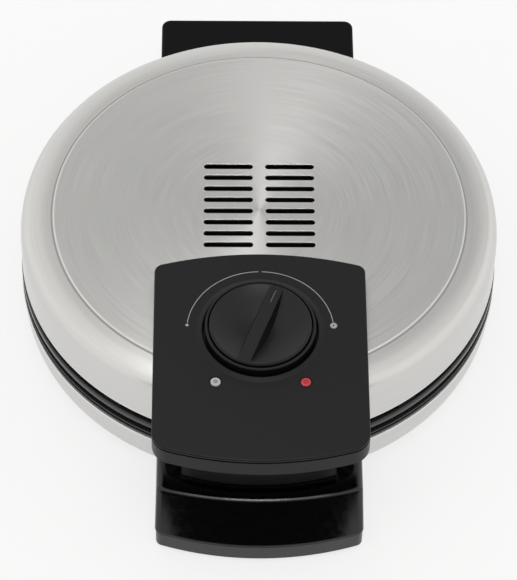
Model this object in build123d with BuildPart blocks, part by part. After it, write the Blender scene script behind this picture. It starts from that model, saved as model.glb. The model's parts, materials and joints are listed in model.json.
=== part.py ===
from build123d import *
import os
from math import asin, cos, degrees, hypot, pi, radians, sin, sqrt, tan

# Heart waffle maker: a round steel bowl and lid on a rear hinge, two die-cast plates with five hearts,
# and a control panel on the lid that is also its handle.
# Millimetres, +Z up, front of the machine towards -Y, standing on Z = 0.

# Steel bowl and lid
body_radius = 113.0
sheet = 0.8
soft_radius = 22.0
tight_radius = 5.0
soft_turn = 17.0
parting_z = 36.5
lid_rim_rise = 9.5
lid_skirt = 15.83
bowl_rim_drop = 5.8
bowl_skirt = 8.8
disc_inset = 16.0
disc_rise = 0.9
disc_slope = 1.3
disc_round = 0.7
crown_turn = 15.0

# Vent slots in the lid and the baffle under them
slot_rows = 8
slot_pitch = 6.85
slot_width = 3.0
slot_length = 23.4
slot_middle = 14.6
slot_gap = 10.65
baffle_drop = 4.0
baffle_margin = 4.0
baffle_flange = 6.0

# Baking plates
plate_proud = 0.5
rim_width = 4.5
rim_near = 1.7
lower_rim_far = 5.5
upper_rim_far = 5.2
rim_groove = 1.0
rim_bead = 0.8
lower_rim_round = 0.3
upper_rim_round = 0.9
seal_gap = 0.4
rib_inset = 12.9
rib_width = 2.2
rib_slope = 0.8
land_drop = 1.4
pocket_depth = 7.6
floor_wall = 3.0
gutter_depth = 5.0
gutter_wall = 2.5

# Five hearts and their pegs
heart_count = 5
heart_inset = 5.1
heart_ridge = 4.0
lobe_overlap = 0.75
pocket_draft = 12.0
peg_width = 8.2
peg_channel = 5.4
peg_draft = 16.0
peg_drop = 2.4

# Heating behind the plates
tube_radius = 3.3
ring_inset = 51.5
leg_spread = 9.0
leg_bend = 10.0
leg_inset = 3.0
guide_rib = 1.6
guide_height = 3.0
shield_sheet = 0.6
shield_back = 17.5
shield_inset = 10.5
shield_rim = 3.0
boss_inset = 29.5
boss_radius = 4.5
boss_count = 4

# Screws, all of one size
screw_radius = 1.5
screw_head = 3.0
screw_head_height = 2.0
screw_grip = 8.0
screw_end = 0.5

# Clips that hold the plates
clip_width = 10.0
clip_sheet = 0.8
clip_leg = 7.0
clip_foot = 2.6
front_clip_angle = 37.4
side_clip_angle = 56.7

# Control panel on the lid, also the upper handle
panel_half_width = 48.7
panel_overhang = 34.7
panel_length = 115.7
panel_rear_arc = 170.0
panel_front_arc = 144.0
panel_rear_corner = 4.5
panel_front_corner = 10.0
panel_lift = 6.6
panel_tilt = 1.0
panel_plate = 1.8
panel_edge = 0.8
panel_wall = 2.4
panel_seam = 0.45
panel_drop = 6.0
panel_lip = 1.6
panel_lip_depth = 2.2
panel_boss_radius = 3.6
panel_screw_aside = 7.8
panel_screw_rear_inset = 15.0
panel_screw_front_inset = 30.0
panel_screw_grip = 3.8
housing_screw_x = 30.0
housing_screw_out = 17.0
housing_screw_grip = 6.0
housing_screw_floor = 1.5

# Knob on the panel, its dish and the thermostat below it
knob_inset = 36.9
knob_turned = 20.5
moat = 0.9
dish_depth = 3.4
dish_draft = 0.2
dish_wall = 1.4
collar_rise = 0.8
collar_crest = 0.8
collar_width = 3.0
collar_round = 0.6
skirt_radius = 25.3
skirt_rim = 1.2
skirt_height = 4.2
skirt_edge = 0.4
skirt_floor = 1.4
cap_inset = 2.0
cap_height = 5.3
cap_chamfer = 0.7
hollow_depth = 5.6
hollow_edge = 0.3
ridge_width = 6.0
ridge_draft = 18.0
pointer_length = 8.0
pointer_width = 0.8
pointer_depth = 0.4
pointer_end = 1.5
spindle_radius = 2.3
spindle_flat = 0.7
spindle_play = 0.05
spindle_rise = 3.0
spindle_depth = 6.0
boss_wall = 2.2
bush_wall = 1.6
thermostat_radius = 14.0
thermostat_height = 12.0
blade_width = 6.3
blade_sheet = 0.8
blade_length = 4.5
blade_circle = 9.0
sensor_radius = 3.0

# Signal lamps
lamp_spread_inset = 5.9
lamp_below = 2.75
lens_radius = 2.3
lens_proud = 0.5
lens_ring = 0.7
lamp_radius = 2.5
lamp_length = 8.0
lens_flange = 1.0
lens_flange_height = 0.8
lens_ring_depth = 0.4
lamp_drop = 4.1
lamp_gap = 0.8
carrier_end = 4.0
carrier_width = 5.0
carrier_sheet = 1.6
carrier_wall = 0.9

# Lower handle, also the front leg
handle_half_width = 48.0
handle_out = 37.0
handle_tuck = 21.0
handle_front_arc = 145.0
handle_corner = 4.0
handle_taper = 0.8
tray_height = 8.9
tray_inset = 0.4
tray_wall = 2.4
tray_floor = 3.0
tray_post = 6.0
tray_back_out = 4.0
tray_screw_x = 22.0
tray_screw_out = 20.0
leg_screw_x = 24.0
leg_screw_inset = 15.0
handle_seam = 0.9
crest_drop = 3.5
crest_setback = 12.4
crest_arc = 170.0
crest_corner = 3.2
crest_round = 2.8
scoop_out = 6.5
scoop_end = 5.0
scoop_reach = 14.3
scoop_depth = 14.0
scoop_slant = 7.0

# Rear hinge
hinge_half_width = 48.1
hinge_out = 26.7
hinge_corner = 4.5
hinge_rise = 10.0
hinge_round = 1.6
hinge_tuck = 21.0
barrel_radius = 8.0
ear_width = 5.2
ear_step = 0.7
pin_radius = 2.5
pin_length = 15.0
pin_play = 0.05
lid_opening = 105.0
rear_wall = 3.2
cavity_out = 4.5
cavity_roof = 4.1
block_width = 28.0
block_depth = 12.0
block_height = 10.0

# Inlet of the mains lead, in the rear wall
gland_x = 26.0
gland_z = 16.0
gland_radius = 4.9
gland_flange = 6.6
gland_bore = 3.6
gland_proud = 2.6
gland_inside = 2.0

# Brackets between steel body and mouldings
bracket_sheet = 1.2
bracket_turn = 32.0
bracket_height = 9.0
bracket_low = 1.6
bracket_screw_x = 20.0
bracket_screw_grip = 12.0

# Floor of the bowl and the rubber pads
floor_inset = 45.0
floor_sheet = 2.2
floor_seat = 14.0
floor_rim = 1.6
floor_lip = 2.4
floor_vents = 18
floor_vent_width = 3.0
floor_vent_inset = 10.0
floor_vent_length = 24.0
floor_screw_count = 3
floor_screw_grip = 6.0
pad_height = 3.0
pad_radius = 6.0
pad_stem = 2.6
pad_stem_height = 2.5
front_pad_aside = 14.0
front_pad_out = 20.0
rear_pad_aside = 12.1
rear_pad_inset = 5.0

# Clearances
seat_gap = 0.3
turn_gap = 0.4
screw_play = 0.05
hole_gap = 0.8
touch_gap = 0.1

# Worked-out radii, counted from the body's axis
inner_radius = body_radius - sheet
disc_radius = body_radius - disc_inset
plate_radius = body_radius + plate_proud
fixed_radius = plate_radius + seat_gap
rib_radius = plate_radius - rib_inset
heart_reach = rib_radius - heart_inset
ring_radius = plate_radius - ring_inset
shield_radius = plate_radius - shield_inset
leg_reach = shield_radius - leg_inset
boss_circle = plate_radius - boss_inset
floor_radius = body_radius - floor_inset
floor_opening = floor_radius - floor_seat
floor_screw_circle = floor_radius - floor_seat / 2
dish_radius = skirt_radius + moat
cap_radius = skirt_radius - cap_inset

# Worked-out distances in front of the body's axis or behind it
panel_front = body_radius + panel_overhang
panel_rear = panel_front - panel_length
panel_screw_x = dish_radius + panel_screw_aside
panel_screw_rear = panel_rear + panel_screw_rear_inset
panel_screw_front = body_radius - panel_screw_front_inset
housing_screw_back = body_radius + housing_screw_out
knob_back = body_radius - knob_inset
lamp_spread = dish_radius - lamp_spread_inset
lamp_front = knob_back + dish_radius + lamp_below
slot_span = (slot_rows - 1) * slot_pitch
slot_first = slot_span + slot_gap - panel_rear
handle_front = body_radius + handle_out
handle_back = body_radius - handle_tuck
tray_back = body_radius + tray_back_out
tray_shell = tray_inset + tray_wall
tray_screw_back = body_radius + tray_screw_out
leg_screw_back = body_radius - leg_screw_inset
crest_front = handle_front - crest_setback
scoop_middle = body_radius + scoop_out
scoop_half_length = handle_half_width - scoop_end
hinge_rear = body_radius + hinge_out
hinge_front = body_radius - hinge_tuck
hinge_y = hinge_rear - barrel_radius
channel_radius = barrel_radius + turn_gap
ear_radius = barrel_radius - ear_step
cavity_front = body_radius + cavity_out
front_pad_x = handle_half_width - front_pad_aside
front_pad_back = body_radius + front_pad_out
rear_pad_x = hinge_half_width - rear_pad_aside
rear_pad_back = body_radius - rear_pad_inset
axis_y = (handle_front - (hinge_rear + gland_proud)) / 2

# Worked-out heights
lid_rim_z = parting_z + lid_rim_rise
bowl_rim_z = parting_z - bowl_rim_drop
shoulder_reach = soft_radius - tight_radius
shoulder_rise = shoulder_reach * sin(radians(soft_turn)) + tight_radius
shoulder_inset = body_radius - soft_radius + shoulder_reach * cos(radians(soft_turn))
crown = radians(crown_turn)
crown_reach = shoulder_inset + tight_radius * sin(crown) - disc_radius - disc_slope
crown_rise = crown_reach * tan(crown / 2) - tight_radius * (1 - cos(crown))
annulus_z = lid_rim_z + lid_skirt + shoulder_rise
lamp_top = annulus_z - sheet - lamp_drop
disc_z = annulus_z + crown_rise + disc_rise
bowl_floor_z = bowl_rim_z - bowl_skirt - shoulder_rise
plate_back = pocket_depth + floor_wall
panel_rear_z = disc_z + panel_lift
panel_floor_z = disc_z - panel_drop
crest_z = parting_z - crest_drop
hinge_top_z = lid_rim_z + hinge_rise
bracket_screw_z = lid_rim_z + bracket_low + bracket_height / 2
body_axis = Axis((0, axis_y, 0), (0, 0, 1))
tilt = radians(panel_tilt)
sector = pi / heart_count


def level(z):
    """Horizontal plane at height z, centred on the axis of the round body."""
    return Plane(origin=(0, axis_y, z), x_dir=(1, 0, 0), z_dir=(0, 0, 1))


def side(x):
    """Upright plane across the machine: its X runs to the rear and its Y up."""
    return Plane(origin=(x, axis_y, 0), x_dir=(0, 1, 0), z_dir=(1, 0, 0))


def radial(angle=0.0):
    """Upright plane through the body's axis: its X runs outwards at the angle and its Y up."""
    out = (cos(radians(angle)), sin(radians(angle)), 0)
    return Plane(origin=(0, axis_y, 0), x_dir=out, z_dir=(out[1], -out[0], 0))


def across(back):
    """Upright plane along X at a distance behind the axis, facing the front: its Y runs up."""
    return Plane(origin=(0, axis_y + back, 0), x_dir=(1, 0, 0), z_dir=(0, -1, 0))


def panel_height(back):
    """Height of the tilted panel surface at a distance in front of the body's axis."""
    return panel_rear_z - (back - panel_rear) * tan(tilt)


def on_panel(rise=0.0):
    """Plane of the panel's top at the knob, raised along its own normal."""
    normal = (0, -sin(tilt), cos(tilt))
    knob_z = panel_height(knob_back)
    origin = (0, axis_y - knob_back + rise * normal[1], knob_z + rise * normal[2])
    return Plane(origin=origin, x_dir=(1, 0, 0), z_dir=normal)


def strip(points, thickness):
    """Face of a bent sheet: the polyline of its one side, thickened to its left with mitred bends."""
    normals = []
    for (x0, y0), (x1, y1) in zip(points, points[1:]):
        length = hypot(x1 - x0, y1 - y0)
        normals.append(((y0 - y1) / length, (x1 - x0) / length))
    other = []
    for i, (x, y) in enumerate(points):
        a = normals[max(i - 1, 0)]
        b = normals[min(i, len(normals) - 1)]
        share = thickness / (1 + a[0] * b[0] + a[1] * b[1])
        other.append((x + (a[0] + b[0]) * share, y + (a[1] + b[1]) * share))
    with BuildSketch() as face:
        with BuildLine():
            Polyline(*points, *reversed(other), close=True)
        make_face()
    return face.sketch


def drawn_section(rim_z, skirt, way, step, inset):
    """Half section of the drawn steel form out to the axis, way 1 for the lid and -1 for the bowl."""
    soft_x = body_radius - soft_radius
    soft_z = rim_z + way * skirt
    tight_z = soft_z + way * shoulder_reach * sin(radians(soft_turn))
    turn = step * crown_turn
    ring_x = shoulder_inset + (tight_radius - inset) * sin(radians(turn))
    ring_z = tight_z + way * (tight_radius - inset) * cos(radians(turn))
    slope_x = disc_radius + disc_slope
    slope_z = ring_z + way * (ring_x - slope_x) * tan(radians(turn / 2))
    top_z = slope_z + way * step * disc_rise
    with BuildSketch() as face:
        with BuildLine():
            Line((body_radius - inset, rim_z), (body_radius - inset, soft_z))
            CenterArc((soft_x, soft_z), soft_radius - inset, 0, way * soft_turn)
            CenterArc((shoulder_inset, tight_z), tight_radius - inset,
                      way * soft_turn, way * (90 - turn - soft_turn))
            if step:
                TangentArc((slope_x, slope_z), (ring_x, ring_z), tangent=(1, 0))
            else:
                Line((slope_x, slope_z), (ring_x, ring_z))
            Polyline(
                (slope_x, slope_z),
                (disc_radius, top_z),
                (0, top_z),
                (0, rim_z),
                (body_radius - inset, rim_z),
            )
        make_face()
        if step:
            fillet(face.vertices().filter_by_position(Axis.X, disc_radius, slope_x), disc_round)
    return face.sketch


def front_outline(half_width, front, arc, back, corner):
    """Plan of a handle: straight sides, a bowed front edge with round corners and a square back."""
    bow = arc - sqrt(arc * arc - half_width * half_width)
    with BuildSketch() as face:
        with BuildLine():
            ThreePointArc((-half_width, bow - front), (0, -front), (half_width, bow - front))
            Polyline((half_width, bow - front), (half_width, -back), (-half_width, -back),
                     (-half_width, bow - front))
        make_face()
        fillet(face.vertices().group_by(Axis.Y)[0], corner)
    return face.sketch


def panel_outline(inset):
    """Plan of the control panel, drawn in by the inset: bowed front and rear edges, round corners."""
    half_width = panel_half_width - inset
    front_arc = panel_front_arc - inset
    rear_arc = panel_rear_arc - inset
    front_y = inset - panel_front + front_arc - sqrt(front_arc ** 2 - half_width ** 2)
    rear_y = -panel_rear - inset - rear_arc + sqrt(rear_arc ** 2 - half_width ** 2)
    with BuildSketch() as face:
        with BuildLine():
            ThreePointArc((-half_width, front_y), (0, inset - panel_front), (half_width, front_y))
            Line((half_width, front_y), (half_width, rear_y))
            ThreePointArc((half_width, rear_y), (0, -panel_rear - inset), (-half_width, rear_y))
            Line((-half_width, rear_y), (-half_width, front_y))
        make_face()
        fillet(face.vertices().group_by(Axis.Y)[0], panel_front_corner - inset)
        fillet(face.vertices().group_by(Axis.Y)[-1], panel_rear_corner - inset)
    return face.sketch


def scoop_face(inset):
    """Plan of the finger scoop, drawn in by the inset: half an ellipse in front, open to the bowl."""
    half_length = scoop_half_length - inset
    with BuildSketch() as face:
        with BuildLine():
            EllipticalCenterArc((0, -scoop_middle), half_length, scoop_reach - inset, 180, arc_size=180)
            Polyline((half_length, -scoop_middle), (half_length, -handle_back), (-half_length, -handle_back),
                     (-half_length, -scoop_middle))
        make_face()
    return face.sketch


def hinge_outline():
    """Plan of the rear block: square towards the body, with round corners at the rear."""
    middle = (hinge_front + hinge_rear) / 2
    with BuildSketch() as face:
        with Locations((0, middle)):
            Rectangle(2 * hinge_half_width, hinge_rear - hinge_front)
        fillet(face.vertices().group_by(Axis.Y)[-1], hinge_corner)
    return face.sketch


def bowl_space():
    """The room that the bowl, the plates and the lid's rim take, with the gap to what is fixed on it."""
    with BuildPart() as space:
        with BuildSketch(radial()):
            add(drawn_section(bowl_rim_z, bowl_skirt, -1, 0, -seat_gap))
        revolve(axis=body_axis)
        with BuildSketch(level(bowl_rim_z - bowl_skirt)):
            Circle(fixed_radius)
        extrude(amount=lid_rim_z + lid_skirt - bowl_rim_z + bowl_skirt)
    return space.part


def lid_space():
    """The room that the lid takes, with the gap to what is fixed on it."""
    with BuildPart() as space:
        with BuildSketch(radial()):
            add(drawn_section(lid_rim_z, lid_skirt, 1, 1, -seat_gap))
        revolve(axis=body_axis)
        with BuildSketch(level(parting_z - barrel_radius)):
            Circle(fixed_radius)
        extrude(amount=lid_rim_rise + barrel_radius)
    return space.part


# Hearts
def lobe_size():
    """Radius of a heart's two lobes, so that they fill the sector and overlap by the set share."""
    a = (1 + lobe_overlap * cos(sector)) / sin(sector)
    b = heart_ridge / 2 / sin(sector)
    p = lobe_overlap ** 2 + a * a - 1
    q = 2 * a * b + 2 * heart_reach
    r = b * b - heart_reach ** 2
    return (sqrt(q * q - 4 * p * r) - q) / (2 * p)


lobe = lobe_size()
lobe_v = lobe_overlap * lobe
lobe_u = (lobe + heart_ridge / 2 + lobe_v * cos(sector)) / sin(sector)
peg_du = peg_width / 2 / sin(sector)
peg_dv = peg_width / 2 / cos(sector)


def heart_face():
    """One heart with its tip near the centre of the plate, pointing along X."""
    tip = heart_ridge / 2 / sin(sector)
    touch = (lobe_u - lobe * sin(sector), lobe_v + lobe * cos(sector))
    out = hypot(lobe_u, lobe_v)
    far = (lobe_u * (1 + lobe / out), lobe_v * (1 + lobe / out))
    notch = (lobe_u + sqrt(lobe ** 2 - lobe_v ** 2), 0)
    with BuildSketch() as face:
        with BuildLine():
            Line((tip, 0), touch)
            ThreePointArc(touch, far, notch)
            ThreePointArc(notch, (far[0], -far[1]), (touch[0], -touch[1]))
            Line((touch[0], -touch[1]), (tip, 0))
        make_face()
    return face.sketch


def in_heart(u, v, margin):
    """Whether a point lies inside the heart by at least the margin."""
    v = abs(v)
    from_side = u * sin(sector) - v * cos(sector) - heart_ridge / 2
    along = u * cos(sector) + v * sin(sector)
    lobe_along = lobe_u * cos(sector) + lobe_v * sin(sector)
    body = along <= lobe_along or (v <= lobe_v and u <= lobe_u)
    return from_side >= margin and (body or hypot(u - lobe_u, v - lobe_v) <= lobe - margin)


def peg_face():
    """Foot of one peg: a rhombus with its sides parallel to the sides of the heart."""
    with BuildSketch() as face:
        with BuildLine():
            Polyline((peg_du, 0), (0, peg_dv), (-peg_du, 0), (0, -peg_dv), close=True)
        make_face()
    return face.sketch


def peg_spots():
    """Centres of the pegs, in rows parallel to both sides of the heart, that fit whole inside it."""
    pitch = peg_width + peg_channel
    rows = [peg_channel + peg_width / 2 + i * pitch for i in range(int(heart_reach / pitch) + 1)]
    spots = []
    for a in rows:
        for b in rows:
            u = (a + b + heart_ridge) / 2 / sin(sector)
            v = (b - a) / 2 / cos(sector)
            corners = [(u + peg_du, v), (u - peg_du, v), (u, v + peg_dv), (u, v - peg_dv)]
            if all(in_heart(x, y, peg_channel / 2) for x, y in corners):
                spots.append((u, v))
    return spots


def baking_plate(rim_far, rim_round, grooved):
    """The lower plate: hearts open upwards, heating side below. The upper one is its mirror image."""
    land = parting_z - land_drop
    floor = parting_z - pocket_depth
    back = parting_z - plate_back
    gutter = parting_z - gutter_depth
    top = parting_z - seal_gap / 2
    near = parting_z - rim_near
    far = parting_z - rim_far
    rim_inner = plate_radius - rim_width
    groove_top = near - rim_bead
    groove_low = (groove_top + far) / 2
    groove = [
        (plate_radius, groove_low),
        (plate_radius - rim_groove, groove_low),
        (plate_radius - rim_groove, groove_top),
        (plate_radius, groove_top),
    ]
    with BuildPart() as plate:
        with BuildSketch(radial()) as section:
            with BuildLine():
                Polyline(
                    (0, back),
                    (rib_radius, back),
                    (rib_radius + gutter_wall, gutter - gutter_wall),
                    (rim_inner - gutter_wall, gutter - gutter_wall),
                    (rim_inner - rib_slope, far),
                    (plate_radius, far),
                    *(groove if grooved else []),
                    (plate_radius, near),
                    (rim_inner, near),
                    (rim_inner - rib_slope, gutter),
                    (rib_radius + rib_slope, gutter),
                    (rib_radius, top),
                    (rib_radius - rib_width, top),
                    (rib_radius - rib_width - rib_slope, land),
                    (0, land),
                    close=True,
                )
            make_face()
            fillet(section.vertices().group_by(Axis.X)[-1], rim_round)
        revolve(axis=body_axis)
        with BuildSketch(level(land)):
            with PolarLocations(0, heart_count, start_angle=90 + 180 / heart_count):
                add(heart_face())
        extrude(amount=floor - land, taper=pocket_draft, mode=Mode.SUBTRACT)
        with BuildSketch(level(floor)):
            with PolarLocations(0, heart_count, start_angle=90 + 180 / heart_count):
                with Locations(*peg_spots()):
                    add(peg_face())
        extrude(amount=pocket_depth - peg_drop, taper=peg_draft)
        with BuildSketch(level(back)):
            for middle in (ring_radius - tube_radius - guide_rib, ring_radius + tube_radius + guide_rib):
                Circle(middle + guide_rib / 2)
                Circle(middle - guide_rib / 2, mode=Mode.SUBTRACT)
            with Locations((0, ring_radius)):
                Rectangle(2 * (leg_spread + leg_bend), 4 * (tube_radius + guide_rib), mode=Mode.SUBTRACT)
        extrude(amount=-guide_height)
        with BuildSketch(level(back)):
            with PolarLocations(boss_circle, boss_count, start_angle=180 / boss_count):
                Circle(boss_radius)
        extrude(amount=plate_back - shield_back)
        with BuildSketch(level(parting_z - shield_back)):
            with PolarLocations(boss_circle, boss_count, start_angle=180 / boss_count):
                Circle(screw_radius + screw_play)
        extrude(amount=screw_grip, mode=Mode.SUBTRACT)
    return plate.part


def heat_shield():
    """Reflector of the lower half: a disc with a raised rim, on the bosses of the plate."""
    disc = parting_z - shield_back
    with BuildPart() as shield:
        with BuildSketch(radial()):
            add(strip([(shield_radius, disc + shield_rim), (shield_radius, disc), (0, disc)], shield_sheet))
        revolve(axis=body_axis)
        with BuildSketch(level(disc)):
            with PolarLocations(boss_circle, boss_count, start_angle=180 / boss_count):
                Circle(screw_radius + screw_play)
        extrude(amount=-shield_sheet, mode=Mode.SUBTRACT)
    return shield.part


def heating_tube():
    """Tubular heater of the lower half: an open ring against the plate's back, two legs to the rear."""
    bend_y = sqrt((ring_radius + leg_bend) ** 2 - (leg_spread + leg_bend) ** 2)
    share = ring_radius / (ring_radius + leg_bend)
    join = ((leg_spread + leg_bend) * share, bend_y * share)
    bend_turn = 90 - degrees(asin((leg_spread + leg_bend) / (ring_radius + leg_bend)))
    z = parting_z - plate_back - tube_radius - touch_gap
    with BuildPart() as tube:
        with BuildLine(level(z)) as path:
            Line((leg_spread, leg_reach), (leg_spread, bend_y))
            CenterArc((leg_spread + leg_bend, bend_y), leg_bend, 180, bend_turn)
            ThreePointArc(join, (0, -ring_radius), (-join[0], join[1]))
            CenterArc((-leg_spread - leg_bend, bend_y), leg_bend, -bend_turn, bend_turn)
            Line((-leg_spread, bend_y), (-leg_spread, leg_reach))
        with BuildSketch(Plane(origin=path.line @ 0, z_dir=(0, -1, 0))):
            Circle(tube_radius)
        sweep(path=path.line)
    return tube.part


def plate_clips(rim_far, angles):
    """Angle clips of the lower half, foot under the plate's rim and leg on the bowl's inner wall."""
    leg = sqrt((inner_radius - touch_gap) ** 2 - (clip_width / 2) ** 2)
    foot = parting_z - rim_far - seat_gap
    with BuildPart() as clips:
        for angle in angles:
            with BuildSketch(radial(angle)):
                add(strip([(leg - clip_foot, foot), (leg, foot), (leg, foot - clip_leg)], -clip_sheet))
            extrude(amount=clip_width / 2, both=True)
    return clips.part


def screws(seats, grip):
    """Pan-head screws, one at each plane: the head sits on it and the shank runs along its Z."""
    with BuildPart() as group:
        for seat in seats:
            with BuildSketch(seat):
                Circle(screw_radius)
            extrude(amount=grip)
            with BuildSketch(seat):
                Circle(screw_head)
            extrude(amount=-screw_head_height)
    return group.part


def screw_holes(seats, depth):
    """The holes for such screws, to cut from what they hold."""
    with BuildPart() as group:
        for seat in seats:
            with BuildSketch(seat):
                Circle(screw_radius + screw_play)
            extrude(amount=depth)
    return group.part


def seat_at(x, y, z, way=1):
    """Seat of an upright screw that points up, or down where way is -1."""
    return Plane(origin=(x, axis_y + y, z), x_dir=(1, 0, 0), z_dir=(0, 0, way))


def ring_seats(circle, count, z, start):
    """Seats of upright screws evenly round the body's axis."""
    turns = [radians(start + 360 * i / count) for i in range(count)]
    return [seat_at(circle * cos(turn), circle * sin(turn), z) for turn in turns]


def pads(x, back, z_top):
    """A pair of rubber pads with their stems."""
    with BuildPart() as pair:
        with BuildSketch(level(0)):
            with Locations((-x, back), (x, back)):
                Circle(pad_radius)
        extrude(amount=z_top)
        with BuildSketch(level(z_top)):
            with Locations((-x, back), (x, back)):
                Circle(pad_stem)
        extrude(amount=pad_stem_height)
    return pair.part


def pad_holes(x, back):
    """The holes for the stems of a pair of pads."""
    with BuildPart() as pair:
        with BuildSketch(level(pad_height)):
            with Locations((-x, back), (x, back)):
                Circle(pad_stem + touch_gap)
        extrude(amount=pad_stem_height + touch_gap)
    return pair.part


def panel_block(inset, high):
    """Block in the panel's outline, drawn in by the inset, from the handle's underside to a tilted top."""
    with BuildPart() as block:
        with BuildSketch(level(panel_floor_z)):
            add(panel_outline(inset))
        extrude(amount=panel_rear_z + panel_front - panel_floor_z)
        split(bisect_by=on_panel(high), keep=Keep.BOTTOM)
    return block.part


def knob_section(*points):
    """Half section round the knob's axis, from points given as radius and height above the panel."""
    with BuildSketch() as face:
        with BuildLine():
            Polyline(*points, close=True)
        make_face()
    return face.sketch


def lens(way):
    """One signal lens: a domed rod through the panel with a flange under it, down to its lamp."""
    with BuildPart() as rod:
        with BuildSketch(on_panel(lens_proud)):
            with Locations((way * lamp_spread, lamp_y)):
                Circle(lens_radius)
        extrude(amount=-panel_front)
        split(bisect_by=level(lamp_top + lamp_gap), keep=Keep.TOP)
        fillet(rod.edges().sort_by(Axis.Z)[-1], lens_proud)
        with BuildSketch(on_panel(-panel_plate - touch_gap)):
            with Locations((way * lamp_spread, lamp_y)):
                Circle(lens_radius + lens_flange)
        extrude(amount=-lens_flange_height)
    return rod.part


def d_face(radius):
    """Round section with the flat of the spindle."""
    with BuildSketch() as face:
        Circle(radius)
        with Locations((2 * radius - spindle_flat, 0)):
            Rectangle(2 * radius, 2 * radius, mode=Mode.SUBTRACT)
    return face.sketch


# Places shared by several pieces
knob_plane = on_panel()
knob_axis = Axis(knob_plane.origin, knob_plane.z_dir)
knob_side = Plane(origin=knob_plane.origin, x_dir=(1, 0, 0), z_dir=(0, -cos(tilt), -sin(tilt)))
lamp_y = -(lamp_front - knob_back) / cos(tilt)
lamp_spots = [(way * lamp_spread, -lamp_front) for way in (-1, 1)]
lens_spots = [(way * lamp_spread, lamp_y) for way in (-1, 1)]
bowl_room = bowl_space()
lid_room = lid_space()
shield_low = parting_z - shield_back - shield_sheet
lower_plate_seats = ring_seats(boss_circle, boss_count, shield_low, 180 / boss_count)
floor_seats = ring_seats(floor_screw_circle, floor_screw_count, bowl_floor_z - floor_sheet, 90)
front_leg_seats = [seat_at(way * leg_screw_x, -leg_screw_back, bowl_floor_z + sheet, -1) for way in (-1, 1)]
rear_leg_seats = [seat_at(way * leg_screw_x, leg_screw_back, bowl_floor_z + sheet, -1) for way in (-1, 1)]
tray_spots = [(way * tray_screw_x, -tray_screw_back) for way in (-1, 1)]
tray_seats = [seat_at(x, y, pad_height + screw_head_height) for x, y in tray_spots]
panel_spots = [(way * panel_screw_x, back) for way in (-1, 1)
               for back in (panel_screw_rear, panel_screw_front)]
panel_seats = [seat_at(x, -back, disc_z - sheet) for x, back in panel_spots]
housing_spots = [(way * housing_screw_x, housing_screw_back) for way in (-1, 1)]
housing_seats = [seat_at(x, -back, panel_floor_z + screw_head_height) for x, back in housing_spots]
bracket_inner = inner_radius - touch_gap - bracket_sheet
bracket_seat_y = sqrt(bracket_inner ** 2 - (bracket_screw_x + screw_head) ** 2)
bracket_seats = [Plane(origin=(way * bracket_screw_x, axis_y + bracket_seat_y, bracket_screw_z),
                       x_dir=(1, 0, 0), z_dir=(0, 1, 0)) for way in (-1, 1)]
lower_clip_angles = [270 - front_clip_angle, 270 + front_clip_angle,
                     90 - front_clip_angle, 90 + front_clip_angle]
upper_clip_angles = lower_clip_angles + [270 - side_clip_angle, 270 + side_clip_angle,
                                         90 - side_clip_angle, 90 + side_clip_angle]

os.makedirs("parts", exist_ok=True)

# Bowl of the base
with BuildPart() as base_shell:
    with BuildSketch(radial()):
        add(drawn_section(bowl_rim_z, bowl_skirt, -1, 0, 0))
        add(drawn_section(bowl_rim_z, bowl_skirt, -1, 0, sheet), mode=Mode.SUBTRACT)
    revolve(axis=body_axis)
    with BuildSketch(level(bowl_floor_z)):
        Circle(floor_opening)
    extrude(amount=sheet, mode=Mode.SUBTRACT)
    add(screw_holes(floor_seats, floor_screw_grip), mode=Mode.SUBTRACT)
    add(screw_holes(front_leg_seats + rear_leg_seats, 2 * sheet), mode=Mode.SUBTRACT)
base_shell.part.label = "base_shell"
export_step(base_shell.part, "parts/base_shell.step")

# Floor plate with its ring of vents
with BuildPart() as base_floor:
    with BuildSketch(level(bowl_floor_z)):
        Circle(floor_radius)
    extrude(amount=-floor_sheet)
    with BuildSketch(level(bowl_floor_z)):
        Circle(floor_opening - seat_gap)
        Circle(floor_opening - seat_gap - floor_rim, mode=Mode.SUBTRACT)
    extrude(amount=floor_lip)
    with BuildSketch(level(bowl_floor_z)):
        with PolarLocations(floor_opening - floor_vent_inset - floor_vent_length / 2, floor_vents):
            SlotOverall(floor_vent_length, floor_vent_width)
    extrude(amount=-floor_sheet, mode=Mode.SUBTRACT)
    add(screw_holes(floor_seats, floor_screw_grip), mode=Mode.SUBTRACT)
base_floor.part.label = "base_floor"
export_step(base_floor.part, "parts/base_floor.step")

with BuildPart() as floor_screws:
    add(screws(floor_seats, floor_screw_grip))
floor_screws.part.label = "floor_screws"
export_step(floor_screws.part, "parts/floor_screws.step")

# Lower heating half
with BuildPart() as lower_baking_plate:
    add(baking_plate(lower_rim_far, lower_rim_round, True))
lower_baking_plate.part.label = "lower_baking_plate"
export_step(lower_baking_plate.part, "parts/lower_baking_plate.step")

with BuildPart() as lower_heating_element:
    add(heating_tube())
lower_heating_element.part.label = "lower_heating_element"
export_step(lower_heating_element.part, "parts/lower_heating_element.step")

with BuildPart() as lower_heat_shield:
    add(heat_shield())
lower_heat_shield.part.label = "lower_heat_shield"
export_step(lower_heat_shield.part, "parts/lower_heat_shield.step")

with BuildPart() as lower_plate_screws:
    add(screws(lower_plate_seats, shield_sheet + screw_grip - screw_end))
lower_plate_screws.part.label = "lower_plate_screws"
export_step(lower_plate_screws.part, "parts/lower_plate_screws.step")

with BuildPart() as lower_plate_clips:
    add(plate_clips(lower_rim_far, lower_clip_angles))
lower_plate_clips.part.label = "lower_plate_clips"
export_step(lower_plate_clips.part, "parts/lower_plate_clips.step")

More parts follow.
